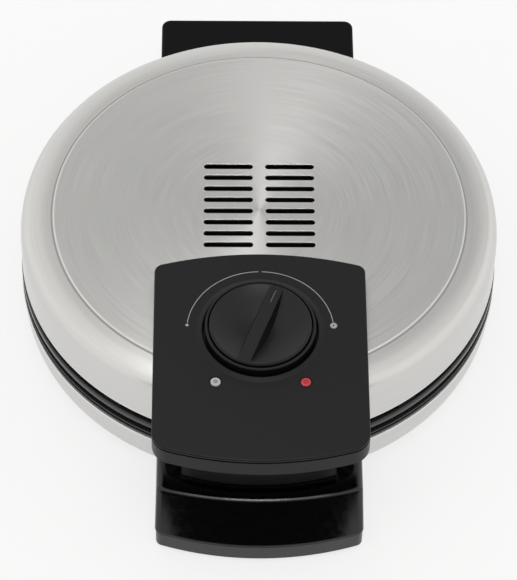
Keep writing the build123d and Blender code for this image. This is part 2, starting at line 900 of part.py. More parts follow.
# Tray of the front leg
tray_top = pad_height + tray_height
with BuildPart() as handle_tray:
    with BuildSketch(level(pad_height)):
        add(front_outline(handle_half_width - tray_inset, handle_front - tray_inset,
                          handle_front_arc - tray_inset, handle_back, handle_corner - tray_inset))
    extrude(amount=tray_height)
    with BuildSketch(level(pad_height + tray_floor)):
        add(front_outline(handle_half_width - tray_shell, handle_front - tray_shell,
                          handle_front_arc - tray_shell, tray_back, handle_corner - tray_shell))
    extrude(amount=tray_height, mode=Mode.SUBTRACT)
    with BuildSketch(level(pad_height)):
        with Locations(*tray_spots):
            Circle(tray_post)
    extrude(amount=tray_height)
    with BuildSketch(level(pad_height)):
        with Locations(*tray_spots):
            Circle(screw_head + touch_gap)
    extrude(amount=screw_head_height, mode=Mode.SUBTRACT)
    add(screw_holes(tray_seats, tray_height), mode=Mode.SUBTRACT)
    add(bowl_room, mode=Mode.SUBTRACT)
    add(screw_holes(front_leg_seats, screw_grip), mode=Mode.SUBTRACT)
    add(pad_holes(front_pad_x, -front_pad_back), mode=Mode.SUBTRACT)
handle_tray.part.label = "handle_tray"
export_step(handle_tray.part, "parts/handle_tray.step")

# Lower handle with its sloping face, bowed crest and finger scoop
with BuildPart() as lower_handle:
    with BuildSketch(level(tray_top + handle_seam)):
        add(front_outline(handle_half_width, handle_front, handle_front_arc, handle_back, handle_corner))
    with BuildSketch(level(crest_z)):
        add(front_outline(handle_half_width - handle_taper, crest_front,
                          crest_arc, handle_back, crest_corner))
    loft(ruled=True)
    fillet(lower_handle.faces().sort_by(Axis.Z)[-1].edges().sort_by(Axis.Y)[:-1], crest_round)
    add(bowl_room, mode=Mode.SUBTRACT)
    with BuildSketch(level(crest_z)):
        add(scoop_face(0))
    with BuildSketch(level(crest_z - scoop_depth)):
        add(scoop_face(scoop_slant))
    loft(ruled=True, mode=Mode.SUBTRACT)
    add(screw_holes(tray_seats, tray_height + screw_grip), mode=Mode.SUBTRACT)
lower_handle.part.label = "lower_handle"
export_step(lower_handle.part, "parts/lower_handle.step")

with BuildPart() as leg_screws:
    add(screws(front_leg_seats + rear_leg_seats, screw_grip - screw_end))
leg_screws.part.label = "leg_screws"
export_step(leg_screws.part, "parts/leg_screws.step")

with BuildPart() as tray_screws:
    add(screws(tray_seats, tray_height + screw_grip - screw_end))
tray_screws.part.label = "tray_screws"
export_step(tray_screws.part, "parts/tray_screws.step")

with BuildPart() as front_pads:
    add(pads(front_pad_x, -front_pad_back, pad_height))
front_pads.part.label = "front_pads"
export_step(front_pads.part, "parts/front_pads.step")

with BuildPart() as rear_pads:
    add(pads(rear_pad_x, rear_pad_back, pad_height))
rear_pads.part.label = "rear_pads"
export_step(rear_pads.part, "parts/rear_pads.step")

# Rear block of the base: a channel for the lid's barrel between two ears, relieved behind it
# so that the rear face of the lid's block has room when the lid is fully open
ear_inner = hinge_half_width - ear_width
turn = radians(lid_opening)
relief_reach = barrel_radius + turn_gap + touch_gap
relief_foot = (hinge_y + relief_reach * cos(turn), parting_z - relief_reach * sin(turn))
relief_end = (relief_foot[0] + hinge_rear * sin(turn), relief_foot[1] + hinge_rear * cos(turn))
cavity_top = parting_z - channel_radius - cavity_roof
with BuildPart() as hinge_base:
    with BuildSketch(level(pad_height)):
        add(hinge_outline())
    extrude(amount=parting_z - turn_gap - pad_height)
    with BuildSketch(side(0)):
        with Locations((hinge_y, parting_z)):
            Circle(channel_radius)
    extrude(amount=ear_inner, both=True, mode=Mode.SUBTRACT)
    with BuildSketch(side(0)):
        with BuildLine():
            Polyline(relief_foot, relief_end, (relief_end[0], hinge_top_z), (relief_foot[0], hinge_top_z),
                     close=True)
        make_face()
    extrude(amount=hinge_half_width, both=True, mode=Mode.SUBTRACT)
    for way in (-1, 1):
        with BuildSketch(side(way * ear_inner)):
            with Locations((hinge_y, parting_z)):
                Circle(ear_radius)
        extrude(amount=way * ear_width)
        with BuildSketch(side(way * ear_inner)):
            with Locations((hinge_y, parting_z)):
                Circle(pin_radius + pin_play)
        extrude(amount=way * ear_width, mode=Mode.SUBTRACT)
    with BuildSketch(level(pad_height)):
        with Locations((0, (cavity_front + hinge_rear - rear_wall) / 2)):
            Rectangle(2 * (hinge_half_width - rear_wall), hinge_rear - rear_wall - cavity_front)
    extrude(amount=cavity_top - pad_height, mode=Mode.SUBTRACT)
    with BuildSketch(across(hinge_rear)):
        with Locations((gland_x, gland_z)):
            Circle(gland_radius + touch_gap)
    extrude(amount=rear_wall, mode=Mode.SUBTRACT)
    add(bowl_room, mode=Mode.SUBTRACT)
    add(screw_holes(rear_leg_seats, screw_grip), mode=Mode.SUBTRACT)
    add(pad_holes(rear_pad_x, rear_pad_back), mode=Mode.SUBTRACT)
hinge_base.part.label = "hinge_base"
export_step(hinge_base.part, "parts/hinge_base.step")

with BuildPart() as hinge_pins:
    for way in (-1, 1):
        with BuildSketch(side(way * (hinge_half_width - screw_end))):
            with Locations((hinge_y, parting_z)):
                Circle(pin_radius)
        extrude(amount=-way * pin_length)
hinge_pins.part.label = "hinge_pins"
export_step(hinge_pins.part, "parts/hinge_pins.step")

with BuildPart() as rear_cover:
    with BuildSketch(level(pad_height)):
        with Locations((0, (cavity_front + hinge_rear - rear_wall) / 2)):
            Rectangle(2 * (hinge_half_width - rear_wall - seat_gap),
                      hinge_rear - rear_wall - cavity_front - 2 * seat_gap)
    extrude(amount=floor_sheet)
rear_cover.part.label = "rear_cover"
export_step(rear_cover.part, "parts/rear_cover.step")

# Inlet of the mains lead and the block that its wires go to
with BuildPart() as cord_gland:
    with BuildSketch(across(hinge_rear + gland_proud)):
        with Locations((gland_x, gland_z)):
            Circle(gland_flange)
    extrude(amount=gland_proud - touch_gap)
    with BuildSketch(across(hinge_rear + touch_gap)):
        with Locations((gland_x, gland_z)):
            Circle(gland_radius)
    extrude(amount=rear_wall + gland_inside)
    with BuildSketch(across(hinge_rear + gland_proud)):
        with Locations((gland_x, gland_z)):
            Circle(gland_bore)
    extrude(amount=gland_proud + rear_wall + gland_inside, mode=Mode.SUBTRACT)
cord_gland.part.label = "cord_gland"
export_step(cord_gland.part, "parts/cord_gland.step")

block_y = (cavity_front + hinge_rear - rear_wall) / 2
with BuildPart() as terminal_block:
    with BuildSketch(level(cavity_top)):
        with Locations((0, block_y)):
            Rectangle(block_width, block_depth)
    extrude(amount=-block_height / 3)
    with BuildSketch(level(cavity_top - block_height / 3)):
        with Locations((0, block_y)):
            with GridLocations(block_width / 3, 0, 3, 1):
                Rectangle(block_width / 4, block_depth)
    extrude(amount=-2 * block_height / 3)
    with BuildSketch(across(block_y)):
        with Locations((0, cavity_top - 2 * block_height / 3)):
            with GridLocations(block_width / 3, 0, 3, 1):
                Circle(screw_radius)
    extrude(amount=block_depth, both=True, mode=Mode.SUBTRACT)
terminal_block.part.label = "terminal_block"
export_step(terminal_block.part, "parts/terminal_block.step")

# Lid
with BuildPart() as lid_shell:
    with BuildSketch(radial()):
        add(drawn_section(lid_rim_z, lid_skirt, 1, 1, 0))
        add(drawn_section(lid_rim_z, lid_skirt, 1, 1, sheet), mode=Mode.SUBTRACT)
    revolve(axis=body_axis)
    with BuildSketch(level(disc_z)):
        for way in (-1, 1):
            for row in range(slot_rows):
                with Locations((way * slot_middle, slot_first - row * slot_pitch)):
                    SlotOverall(slot_length, slot_width)
    extrude(amount=-2 * sheet, mode=Mode.SUBTRACT)
    with BuildSketch(level(disc_z)):
        with Locations((0, -knob_back)):
            Circle(dish_radius + dish_wall + hole_gap)
        with Locations(*lamp_spots):
            Circle(lens_radius + hole_gap)
    extrude(amount=-disc_rise - shoulder_rise, mode=Mode.SUBTRACT)
    add(screw_holes(panel_seats, 2 * sheet), mode=Mode.SUBTRACT)
    add(screw_holes(bracket_seats, bracket_screw_grip), mode=Mode.SUBTRACT)
lid_shell.part.label = "lid_shell"
export_step(lid_shell.part, "parts/lid_shell.step")

# Black baffle under the vent slots, a hat section welded to the lid
baffle_half = slot_middle + slot_length / 2 + baffle_margin
baffle_top = disc_z - sheet - touch_gap
with BuildPart() as vent_baffle:
    with BuildSketch(across(slot_first - slot_span / 2)):
        add(strip([
            (-baffle_half - baffle_flange, baffle_top),
            (-baffle_half, baffle_top),
            (-baffle_half, baffle_top - baffle_drop),
            (baffle_half, baffle_top - baffle_drop),
            (baffle_half, baffle_top),
            (baffle_half + baffle_flange, baffle_top),
        ], -shield_sheet))
    extrude(amount=slot_span / 2 + baffle_margin, both=True)
vent_baffle.part.label = "vent_baffle"
export_step(vent_baffle.part, "parts/vent_baffle.step")

# Upper heating half, the mirror image of the lower one
with BuildPart() as upper_baking_plate:
    mirror(baking_plate(upper_rim_far, upper_rim_round, False), about=level(parting_z))
upper_baking_plate.part.label = "upper_baking_plate"
export_step(upper_baking_plate.part, "parts/upper_baking_plate.step")

with BuildPart() as upper_heating_element:
    mirror(heating_tube(), about=level(parting_z))
upper_heating_element.part.label = "upper_heating_element"
export_step(upper_heating_element.part, "parts/upper_heating_element.step")

with BuildPart() as upper_heat_shield:
    mirror(heat_shield(), about=level(parting_z))
    with BuildSketch(knob_plane):
        Circle(sensor_radius + hole_gap)
    extrude(amount=-panel_rear_z + parting_z, mode=Mode.SUBTRACT)
upper_heat_shield.part.label = "upper_heat_shield"
export_step(upper_heat_shield.part, "parts/upper_heat_shield.step")

with BuildPart() as upper_plate_screws:
    mirror(screws(lower_plate_seats, shield_sheet + screw_grip - screw_end), about=level(parting_z))
upper_plate_screws.part.label = "upper_plate_screws"
export_step(upper_plate_screws.part, "parts/upper_plate_screws.step")

with BuildPart() as upper_plate_clips:
    mirror(plate_clips(upper_rim_far, upper_clip_angles), about=level(parting_z))
upper_plate_clips.part.label = "upper_plate_clips"
export_step(upper_plate_clips.part, "parts/upper_plate_clips.step")

# Top plate of the control panel, with the dish for the knob
lip = panel_wall + seat_gap
dish_low = -dish_depth - dish_wall
bush_radius = spindle_radius + spindle_play + bush_wall
with BuildPart() as control_panel:
    add(panel_block(lip, -panel_plate))
    add(panel_block(lip + panel_lip, -panel_plate), mode=Mode.SUBTRACT)
    split(bisect_by=on_panel(-panel_plate - panel_lip_depth), keep=Keep.TOP)
    add(lid_room, mode=Mode.SUBTRACT)
    with BuildSketch(on_panel(-panel_plate)):
        add(panel_outline(0).moved(Location((0, knob_back))))
    extrude(amount=panel_plate)
    fillet(control_panel.faces().sort_by(Axis.Z)[-1].edges(), panel_edge)
    for x, back in panel_spots:
        with BuildSketch(level(disc_z + seat_gap)):
            with Locations((x, -back)):
                Circle(panel_boss_radius)
        extrude(amount=panel_height(back) - panel_plate / 2 - disc_z - seat_gap)
    housing_boss_z = panel_floor_z + screw_head_height + housing_screw_floor + touch_gap
    for x, back in housing_spots:
        with BuildSketch(level(housing_boss_z)):
            with Locations((x, -back)):
                Circle(panel_boss_radius)
        extrude(amount=panel_height(back) - panel_plate / 2 - housing_boss_z)
    with BuildSketch(on_panel(dish_low)):
        Circle(dish_radius + dish_wall)
    extrude(amount=-dish_low - panel_plate / 2)
    with BuildSketch(knob_side) as collar:
        add(knob_section((dish_radius, -panel_plate / 2), (dish_radius, collar_rise),
                         (dish_radius + collar_crest, collar_rise), (dish_radius + collar_width, 0),
                         (dish_radius + collar_width, -panel_plate / 2)))
        fillet(collar.vertices().group_by(Axis.Y)[-1], collar_round)
    revolve(axis=knob_axis)
    with BuildSketch(knob_side):
        add(knob_section((0, 0), (dish_radius, 0),
                         (dish_radius - dish_draft, -dish_depth), (0, -dish_depth)))
    revolve(axis=knob_axis, mode=Mode.SUBTRACT)
    with BuildSketch(on_panel(dish_low)):
        Circle(bush_radius + touch_gap)
    extrude(amount=dish_wall, mode=Mode.SUBTRACT)
    with BuildSketch(knob_plane):
        with Locations(*lens_spots):
            Circle(lens_radius + touch_gap)
    extrude(amount=-panel_plate, mode=Mode.SUBTRACT)
    with BuildSketch(knob_plane):
        with Locations(*lens_spots):
            Circle(lens_radius + lens_ring)
    extrude(amount=-lens_ring_depth, mode=Mode.SUBTRACT)
    add(screw_holes(panel_seats, panel_screw_grip + touch_gap), mode=Mode.SUBTRACT)
    add(screw_holes(housing_seats, housing_screw_grip + touch_gap), mode=Mode.SUBTRACT)
control_panel.part.label = "control_panel"
export_step(control_panel.part, "parts/control_panel.step")

# Housing below the top plate: the walls round its edge and the underside of the handle
with BuildPart() as panel_housing:
    add(panel_block(0, -panel_plate - panel_seam))
    with BuildSketch(level(panel_floor_z + panel_wall)):
        add(panel_outline(panel_wall))
    extrude(amount=panel_rear_z - panel_floor_z, mode=Mode.SUBTRACT)
    with BuildSketch(level(panel_floor_z)):
        with Locations(*[(x, -back) for x, back in housing_spots]):
            Circle(panel_boss_radius + panel_wall)
    extrude(amount=screw_head_height + housing_screw_floor)
    with BuildSketch(level(panel_floor_z)):
        with Locations(*[(x, -back) for x, back in housing_spots]):
            Circle(screw_head + touch_gap)
    extrude(amount=screw_head_height, mode=Mode.SUBTRACT)
    add(screw_holes(housing_seats, housing_screw_grip), mode=Mode.SUBTRACT)
    add(lid_room, mode=Mode.SUBTRACT)
panel_housing.part.label = "panel_housing"
export_step(panel_housing.part, "parts/panel_housing.step")

with BuildPart() as panel_screws:
    add(screws(panel_seats, panel_screw_grip))
panel_screws.part.label = "panel_screws"
export_step(panel_screws.part, "parts/panel_screws.step")

with BuildPart() as housing_screws:
    add(screws(housing_seats, housing_screw_grip))
housing_screws.part.label = "housing_screws"
export_step(housing_screws.part, "parts/housing_screws.step")

# Signal lamps
with BuildPart() as lens_power:
    add(lens(-1))
lens_power.part.label = "lens_power"
export_step(lens_power.part, "parts/lens_power.step")

with BuildPart() as lens_ready:
    add(lens(1))
lens_ready.part.label = "lens_ready"
export_step(lens_ready.part, "parts/lens_ready.step")

with BuildPart() as signal_lamps:
    with BuildSketch(level(lamp_top)):
        with Locations(*lamp_spots):
            Circle(lamp_radius)
    extrude(amount=-lamp_length)
signal_lamps.part.label = "signal_lamps"
export_step(signal_lamps.part, "parts/signal_lamps.step")

with BuildPart() as lamp_carrier:
    with BuildSketch(level(lamp_top)):
        with Locations((0, -lamp_front)):
            Rectangle(2 * (lamp_spread + carrier_end), carrier_width)
        with Locations(*lamp_spots):
            Circle(lamp_radius + carrier_wall)
            Circle(lamp_radius + touch_gap, mode=Mode.SUBTRACT)
    extrude(amount=-carrier_sheet)
lamp_carrier.part.label = "lamp_carrier"
export_step(lamp_carrier.part, "parts/lamp_carrier.step")

# Thermostat under the dish, with its bush, blades and the sensor rod down to the plate
thermostat_top = dish_low - touch_gap
thermostat_low = thermostat_top - thermostat_height
with BuildPart() as thermostat:
    with BuildSketch(on_panel(thermostat_low)):
        Circle(sensor_radius)
    extrude(amount=-panel_rear_z)
    split(bisect_by=level(parting_z + plate_back + seat_gap), keep=Keep.TOP)
    with BuildSketch(on_panel(thermostat_low)):
        with PolarLocations(blade_circle, 4, start_angle=45):
            Rectangle(blade_sheet, blade_width)
    extrude(amount=-blade_length)
    with BuildSketch(on_panel(thermostat_top)):
        Circle(thermostat_radius)
    extrude(amount=-thermostat_height)
    with BuildSketch(on_panel(thermostat_top)):
        Circle(bush_radius)
    extrude(amount=dish_wall + touch_gap)
    with BuildSketch(on_panel(-dish_depth)):
        Circle(spindle_radius + spindle_play)
    extrude(amount=thermostat_top + dish_depth - spindle_depth - turn_gap, mode=Mode.SUBTRACT)
thermostat.part.label = "thermostat"
export_step(thermostat.part, "parts/thermostat.step")

# Knob: a round skirt, a hollowed cap with a grip ridge across it, and the spindle
skirt_low = turn_gap - dish_depth
skirt_top = skirt_low + skirt_floor
rim_inner = skirt_radius - skirt_rim
hub_radius = spindle_radius + spindle_play + boss_wall
with BuildPart() as knob_skirt:
    with BuildSketch(knob_side):
        add(knob_section(
            (hub_radius + touch_gap, skirt_low),
            (skirt_radius - skirt_edge, skirt_low),
            (skirt_radius, skirt_low + skirt_edge),
            (skirt_radius, skirt_height - skirt_edge),
            (skirt_radius - skirt_edge, skirt_height),
            (rim_inner, skirt_height),
            (rim_inner, skirt_top),
            (hub_radius + touch_gap, skirt_top),
        ))
    revolve(axis=knob_axis)
knob_skirt.part.label = "knob_skirt"
export_step(knob_skirt.part, "parts/knob_skirt.step")

cap_low = skirt_top + touch_gap
hollow_radius = cap_radius - cap_chamfer - hollow_edge
hollow_z = cap_height - hollow_depth
pointer_reach = hollow_radius - pointer_end - pointer_length / 2
heading = radians(knob_turned)
cap_points = [
    (cap_radius - cap_chamfer, cap_height),
    (cap_radius, cap_height - cap_chamfer),
    (cap_radius, cap_low),
    (hub_radius, cap_low),
    (hub_radius, skirt_low),
    (0, skirt_low),
]
with BuildPart() as knob_cap:
    with BuildSketch(on_panel(cap_height)):
        Rectangle(ridge_width, 2 * cap_radius, rotation=-knob_turned)
    extrude(amount=-hollow_depth, taper=-ridge_draft)
    with BuildSketch(knob_side):
        add(knob_section(*cap_points, (0, cap_height)))
    revolve(axis=knob_axis, mode=Mode.INTERSECT)
    with BuildSketch(knob_side):
        with BuildLine():
            TangentArc((0, hollow_z), (hollow_radius, cap_height), tangent=(1, 0))
            Polyline((hollow_radius, cap_height), *cap_points, (0, hollow_z))
        make_face()
    revolve(axis=knob_axis)
    with BuildSketch(on_panel(cap_height)):
        with Locations((pointer_reach * sin(heading), pointer_reach * cos(heading))):
            Rectangle(pointer_width, pointer_length, rotation=-knob_turned)
    extrude(amount=-pointer_depth, mode=Mode.SUBTRACT)
    with BuildSketch(on_panel(skirt_low)):
        add(d_face(spindle_radius + spindle_play))
    extrude(amount=spindle_rise + touch_gap - skirt_low, mode=Mode.SUBTRACT)
knob_cap.part.label = "knob_cap"
export_step(knob_cap.part, "parts/knob_cap.step")

with BuildPart() as knob_spindle:
    with BuildSketch(on_panel(thermostat_top - spindle_depth)):
        Circle(spindle_radius)
    extrude(amount=skirt_low - thermostat_top + spindle_depth)
    with BuildSketch(on_panel(skirt_low)):
        add(d_face(spindle_radius))
    extrude(amount=spindle_rise - skirt_low)
knob_spindle.part.label = "knob_spindle"
export_step(knob_spindle.part, "parts/knob_spindle.step")

# Rear block of the lid, with the barrel that turns in the channel of the base
barrel_half = ear_inner - turn_gap
with BuildPart() as hinge_cover:
    with BuildSketch(level(parting_z + turn_gap)):
        add(hinge_outline())
    extrude(amount=hinge_top_z - parting_z - turn_gap)
    fillet(hinge_cover.faces().sort_by(Axis.Z)[-1].edges().sort_by(Axis.Y)[1:], hinge_round)
    for way in (-1, 1):
        with BuildSketch(side(way * barrel_half)):
            with Locations((hinge_y, parting_z)):
                Circle(channel_radius)
        extrude(amount=way * (hinge_half_width - barrel_half), mode=Mode.SUBTRACT)
    with BuildSketch(side(0)):
        with Locations((hinge_y, parting_z)):
            Circle(barrel_radius)
    extrude(amount=barrel_half, both=True)
    for way in (-1, 1):
        with BuildSketch(side(way * barrel_half)):
            with Locations((hinge_y, parting_z)):
                Circle(pin_radius + pin_play)
        extrude(amount=-way * pin_length, mode=Mode.SUBTRACT)
    add(lid_room, mode=Mode.SUBTRACT)
    add(screw_holes(bracket_seats, bracket_screw_grip), mode=Mode.SUBTRACT)
hinge_cover.part.label = "hinge_cover"
export_step(hinge_cover.part, "parts/hinge_cover.step")

# Steel bracket inside the lid's rear wall
with BuildPart() as lid_bracket:
    with BuildSketch(radial(90 + bracket_turn / 2)):
        with Locations((bracket_inner + bracket_sheet / 2, lid_rim_z + bracket_low + bracket_height / 2)):
            Rectangle(bracket_sheet, bracket_height)
    revolve(axis=body_axis, revolution_arc=-bracket_turn)
    add(screw_holes(bracket_seats, bracket_screw_grip), mode=Mode.SUBTRACT)
lid_bracket.part.label = "lid_bracket"
export_step(lid_bracket.part, "parts/lid_bracket.step")

with BuildPart() as bracket_screws:
    add(screws(bracket_seats, bracket_screw_grip))
bracket_screws.part.label = "bracket_screws"
export_step(bracket_screws.part, "parts/bracket_screws.step")
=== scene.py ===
import json
import logging
import math
from dataclasses import dataclass
from enum import Enum
from typing import ClassVar

import bmesh
import bpy
from mathutils import Matrix, Vector


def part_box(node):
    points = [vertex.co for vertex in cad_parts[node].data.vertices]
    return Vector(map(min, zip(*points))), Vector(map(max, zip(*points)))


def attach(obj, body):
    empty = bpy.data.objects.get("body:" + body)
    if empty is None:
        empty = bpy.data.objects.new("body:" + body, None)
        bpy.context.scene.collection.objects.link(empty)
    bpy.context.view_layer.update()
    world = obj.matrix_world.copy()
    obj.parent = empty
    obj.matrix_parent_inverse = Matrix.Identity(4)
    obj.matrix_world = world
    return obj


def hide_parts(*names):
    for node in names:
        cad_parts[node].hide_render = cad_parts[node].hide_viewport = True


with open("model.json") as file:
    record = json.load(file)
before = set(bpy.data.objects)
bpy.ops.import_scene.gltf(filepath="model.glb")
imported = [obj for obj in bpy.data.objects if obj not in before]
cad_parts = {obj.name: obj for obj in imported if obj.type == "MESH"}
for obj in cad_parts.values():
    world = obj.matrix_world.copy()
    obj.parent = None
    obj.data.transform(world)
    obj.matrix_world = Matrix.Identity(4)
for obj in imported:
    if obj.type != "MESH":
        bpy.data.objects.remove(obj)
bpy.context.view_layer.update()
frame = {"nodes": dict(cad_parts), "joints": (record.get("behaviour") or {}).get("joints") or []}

# Looks of the heart waffle maker. Sizes are in millimetres and become metres where a mesh or a node is made.
# +Z is up and the front handles point towards -Y.
MM = 0.001

# The round body's axis stands this far behind the origin.
AXIS_Y = 3.85

# Height of the photograph in pixels, which the camera's lens is worked out from.
PHOTO_HEIGHT = 580

# The sRGB curve: straight up to its knee, and a power above it.
SRGB_KNEE = 0.04045
SRGB_SLOPE = 12.92
SRGB_OFFSET = 0.055
SRGB_POWER = 2.4

# A noise runs from 0 to 1 and stays mostly between these.
NOISE_LOW = 0.3
NOISE_HIGH = 0.7

# How many rays feel for an edge that is softened.
BEVEL_SAMPLES = 4

# Corners of a turned mesh nearer than this, in metres, are one.
WELD = 1e-7

# Numbers of a mix node's sockets for colours, whose names are shared with those for its other kinds of value.
MIX_SHARE = 0
MIX_A = 6
MIX_B = 7
MIX_RESULT = 2

logging.basicConfig(level=logging.INFO, format="%(name)s: %(message)s")
log = logging.getLogger("waffle_maker")

Point2 = tuple[float, float]
Point3 = tuple[float, float, float]
Inputs = dict[str | int, object]


class Body(Enum):
    """The rigid bodies that pieces ride on."""

    BASE = "base"
    LID = "lid"
    KNOB = "knob"


class Side(Enum):
    """Left or right, seen from the front."""

    LEFT = -1
    RIGHT = 1


def to_linear(code: str) -> tuple[float, float, float, float]:
    """Turns an sRGB colour into linear light.

    Args:
        code: Six hex digits, red, green and blue.

    Returns:
        Linear red, green and blue from 0 to 1, and an alpha of 1.
    """
    channels = [int(code[i:i + 2], 16) / 255 for i in (0, 2, 4)]
    linear = [c / SRGB_SLOPE if c <= SRGB_KNEE else ((c + SRGB_OFFSET) / (1 + SRGB_OFFSET)) ** SRGB_POWER
              for c in channels]
    return (linear[0], linear[1], linear[2], 1.0)


def add_node(tree: bpy.types.NodeTree, kind: str, settings: Inputs | None = None,
             links: Inputs | None = None, **options: object) -> bpy.types.Node:
    """Adds one shader node with its settings and its links.

    Args:
        tree: The node tree that the node joins.
        kind: Blender's name for the kind of node.
        settings: Values of unlinked inputs, by input name or number.
        links: Output sockets that feed inputs, by input name or number.
        options: Properties of the node itself, such as a math operation.

    Returns:
        The new node.
    """
    node = tree.nodes.new(kind)
    for name, value in options.items():
        setattr(node, name, value)
    for key, value in (settings or {}).items():
        node.inputs[key].default_value = value
    for key, socket in (links or {}).items():
        tree.links.new(socket, node.inputs[key])
    return node


def new_surface(name: str, **settings: object) -> tuple[bpy.types.Material, bpy.types.NodeTree, bpy.types.Node]:
    """Starts a material with one surface shader in it.

    Args:
        name: Name of the material.
        settings: Values of the shader's sockets, with underscores for the spaces in their names.

    Returns:
        The material, its node tree and its surface shader.
    """
    material = bpy.data.materials.new(name)
    material.use_nodes = True
    tree = material.node_tree
    tree.nodes.clear()
    values = {key.replace("_", " "): value for key, value in settings.items()}
    shader = add_node(tree, "ShaderNodeBsdfPrincipled", values)
    add_node(tree, "ShaderNodeOutputMaterial", links={"Surface": shader.outputs["BSDF"]})
    return material, tree, shader


def grain(tree: bpy.types.NodeTree, size: float, detail: float = 2.0) -> bpy.types.NodeSocket:
    """Adds an even noise fixed to the piece.

    Args:
        tree: The node tree that it joins.
        size: Width of one grain, in millimetres.
        detail: How much finer detail the grain carries.

    Returns:
        The noise's value socket, from 0 to 1.
    """
    place = add_node(tree, "ShaderNodeTexCoord")
    noise = add_node(tree, "ShaderNodeTexNoise", {"Scale": 1 / (size * MM), "Detail": detail},
                     {"Vector": place.outputs["Object"]})
    return noise.outputs["Fac"]


def remap(tree: bpy.types.NodeTree, value: bpy.types.NodeSocket, low: float, high: float) -> bpy.types.NodeSocket:
    """Stretches the middle of a noise over a range.

    Args:
        tree: The node tree that it joins.
        value: The noise.
        low: Result at the noise's low end.
        high: Result at its high end.

    Returns:
        The socket with the result.
    """
    node = add_node(tree, "ShaderNodeMapRange",
                    {"From Min": NOISE_LOW, "From Max": NOISE_HIGH, "To Min": low, "To Max": high},
                    {"Value": value})
    return node.outputs["Result"]


def tint(tree: bpy.types.NodeTree, value: bpy.types.NodeSocket, dark: str, light: str) -> bpy.types.NodeSocket:
    """Blends two colours by a noise, or by another value from 0 to 1.

    Args:
        tree: The node tree that it joins.
        value: The value that blends them.
        dark: Hex colour at its low end.
        light: Hex colour at its high end.

    Returns:
        The socket with the colour.
    """
    ramp = add_node(tree, "ShaderNodeValToRGB", links={"Fac": value})
    for element, position, colour in zip(ramp.color_ramp.elements, (NOISE_LOW, NOISE_HIGH), (dark, light)):
        element.position = position
        element.color = to_linear(colour)
    return ramp.outputs["Color"]


def relief(tree: bpy.types.NodeTree, height: bpy.types.NodeSocket, depth: float,
           edge: float = 0.0) -> bpy.types.NodeSocket:
    """Adds a fine relief, and softens sharp edges where asked.

    Args:
        tree: The node tree that it joins.
        height: The relief's height, from 0 to 1.
        depth: What a height of 1 stands for, in millimetres.
        edge: Radius of the softened edges, in millimetres, or 0 for none.

    Returns:
        The socket with the bent normal.
    """
    bump = add_node(tree, "ShaderNodeBump", {"Strength": 1.0, "Distance": depth * MM}, {"Height": height})
    if edge > 0:
        soft = add_node(tree, "ShaderNodeBevel", {"Radius": edge * MM}, samples=BEVEL_SAMPLES)
        tree.links.new(soft.outputs["Normal"], bump.inputs["Normal"])
    return bump.outputs["Normal"]


def from_axis(tree: bpy.types.NodeTree, x: float, y: float) -> tuple[bpy.types.NodeSocket, ...]:
    """Measures each point of a piece from an upright axis.

    Args:
        tree: The node tree that it joins.
        x: Where the axis stands along X, in millimetres.
        y: Where it stands along Y.

    Returns:
        Three sockets: the point as seen from the axis, the same without its height, and its distance from the axis.
    """
    place = add_node(tree, "ShaderNodeTexCoord")
    centred = add_node(tree, "ShaderNodeVectorMath", {1: (x * MM, y * MM, 0.0)}, {0: place.outputs["Object"]},
                       operation="SUBTRACT")
    flat = add_node(tree, "ShaderNodeVectorMath", {1: (1.0, 1.0, 0.0)}, {0: centred.outputs["Vector"]},
                    operation="MULTIPLY")
    out = add_node(tree, "ShaderNodeVectorMath", links={0: flat.outputs["Vector"]}, operation="LENGTH")
    return centred.outputs["Vector"], flat.outputs["Vector"], out.outputs["Value"]


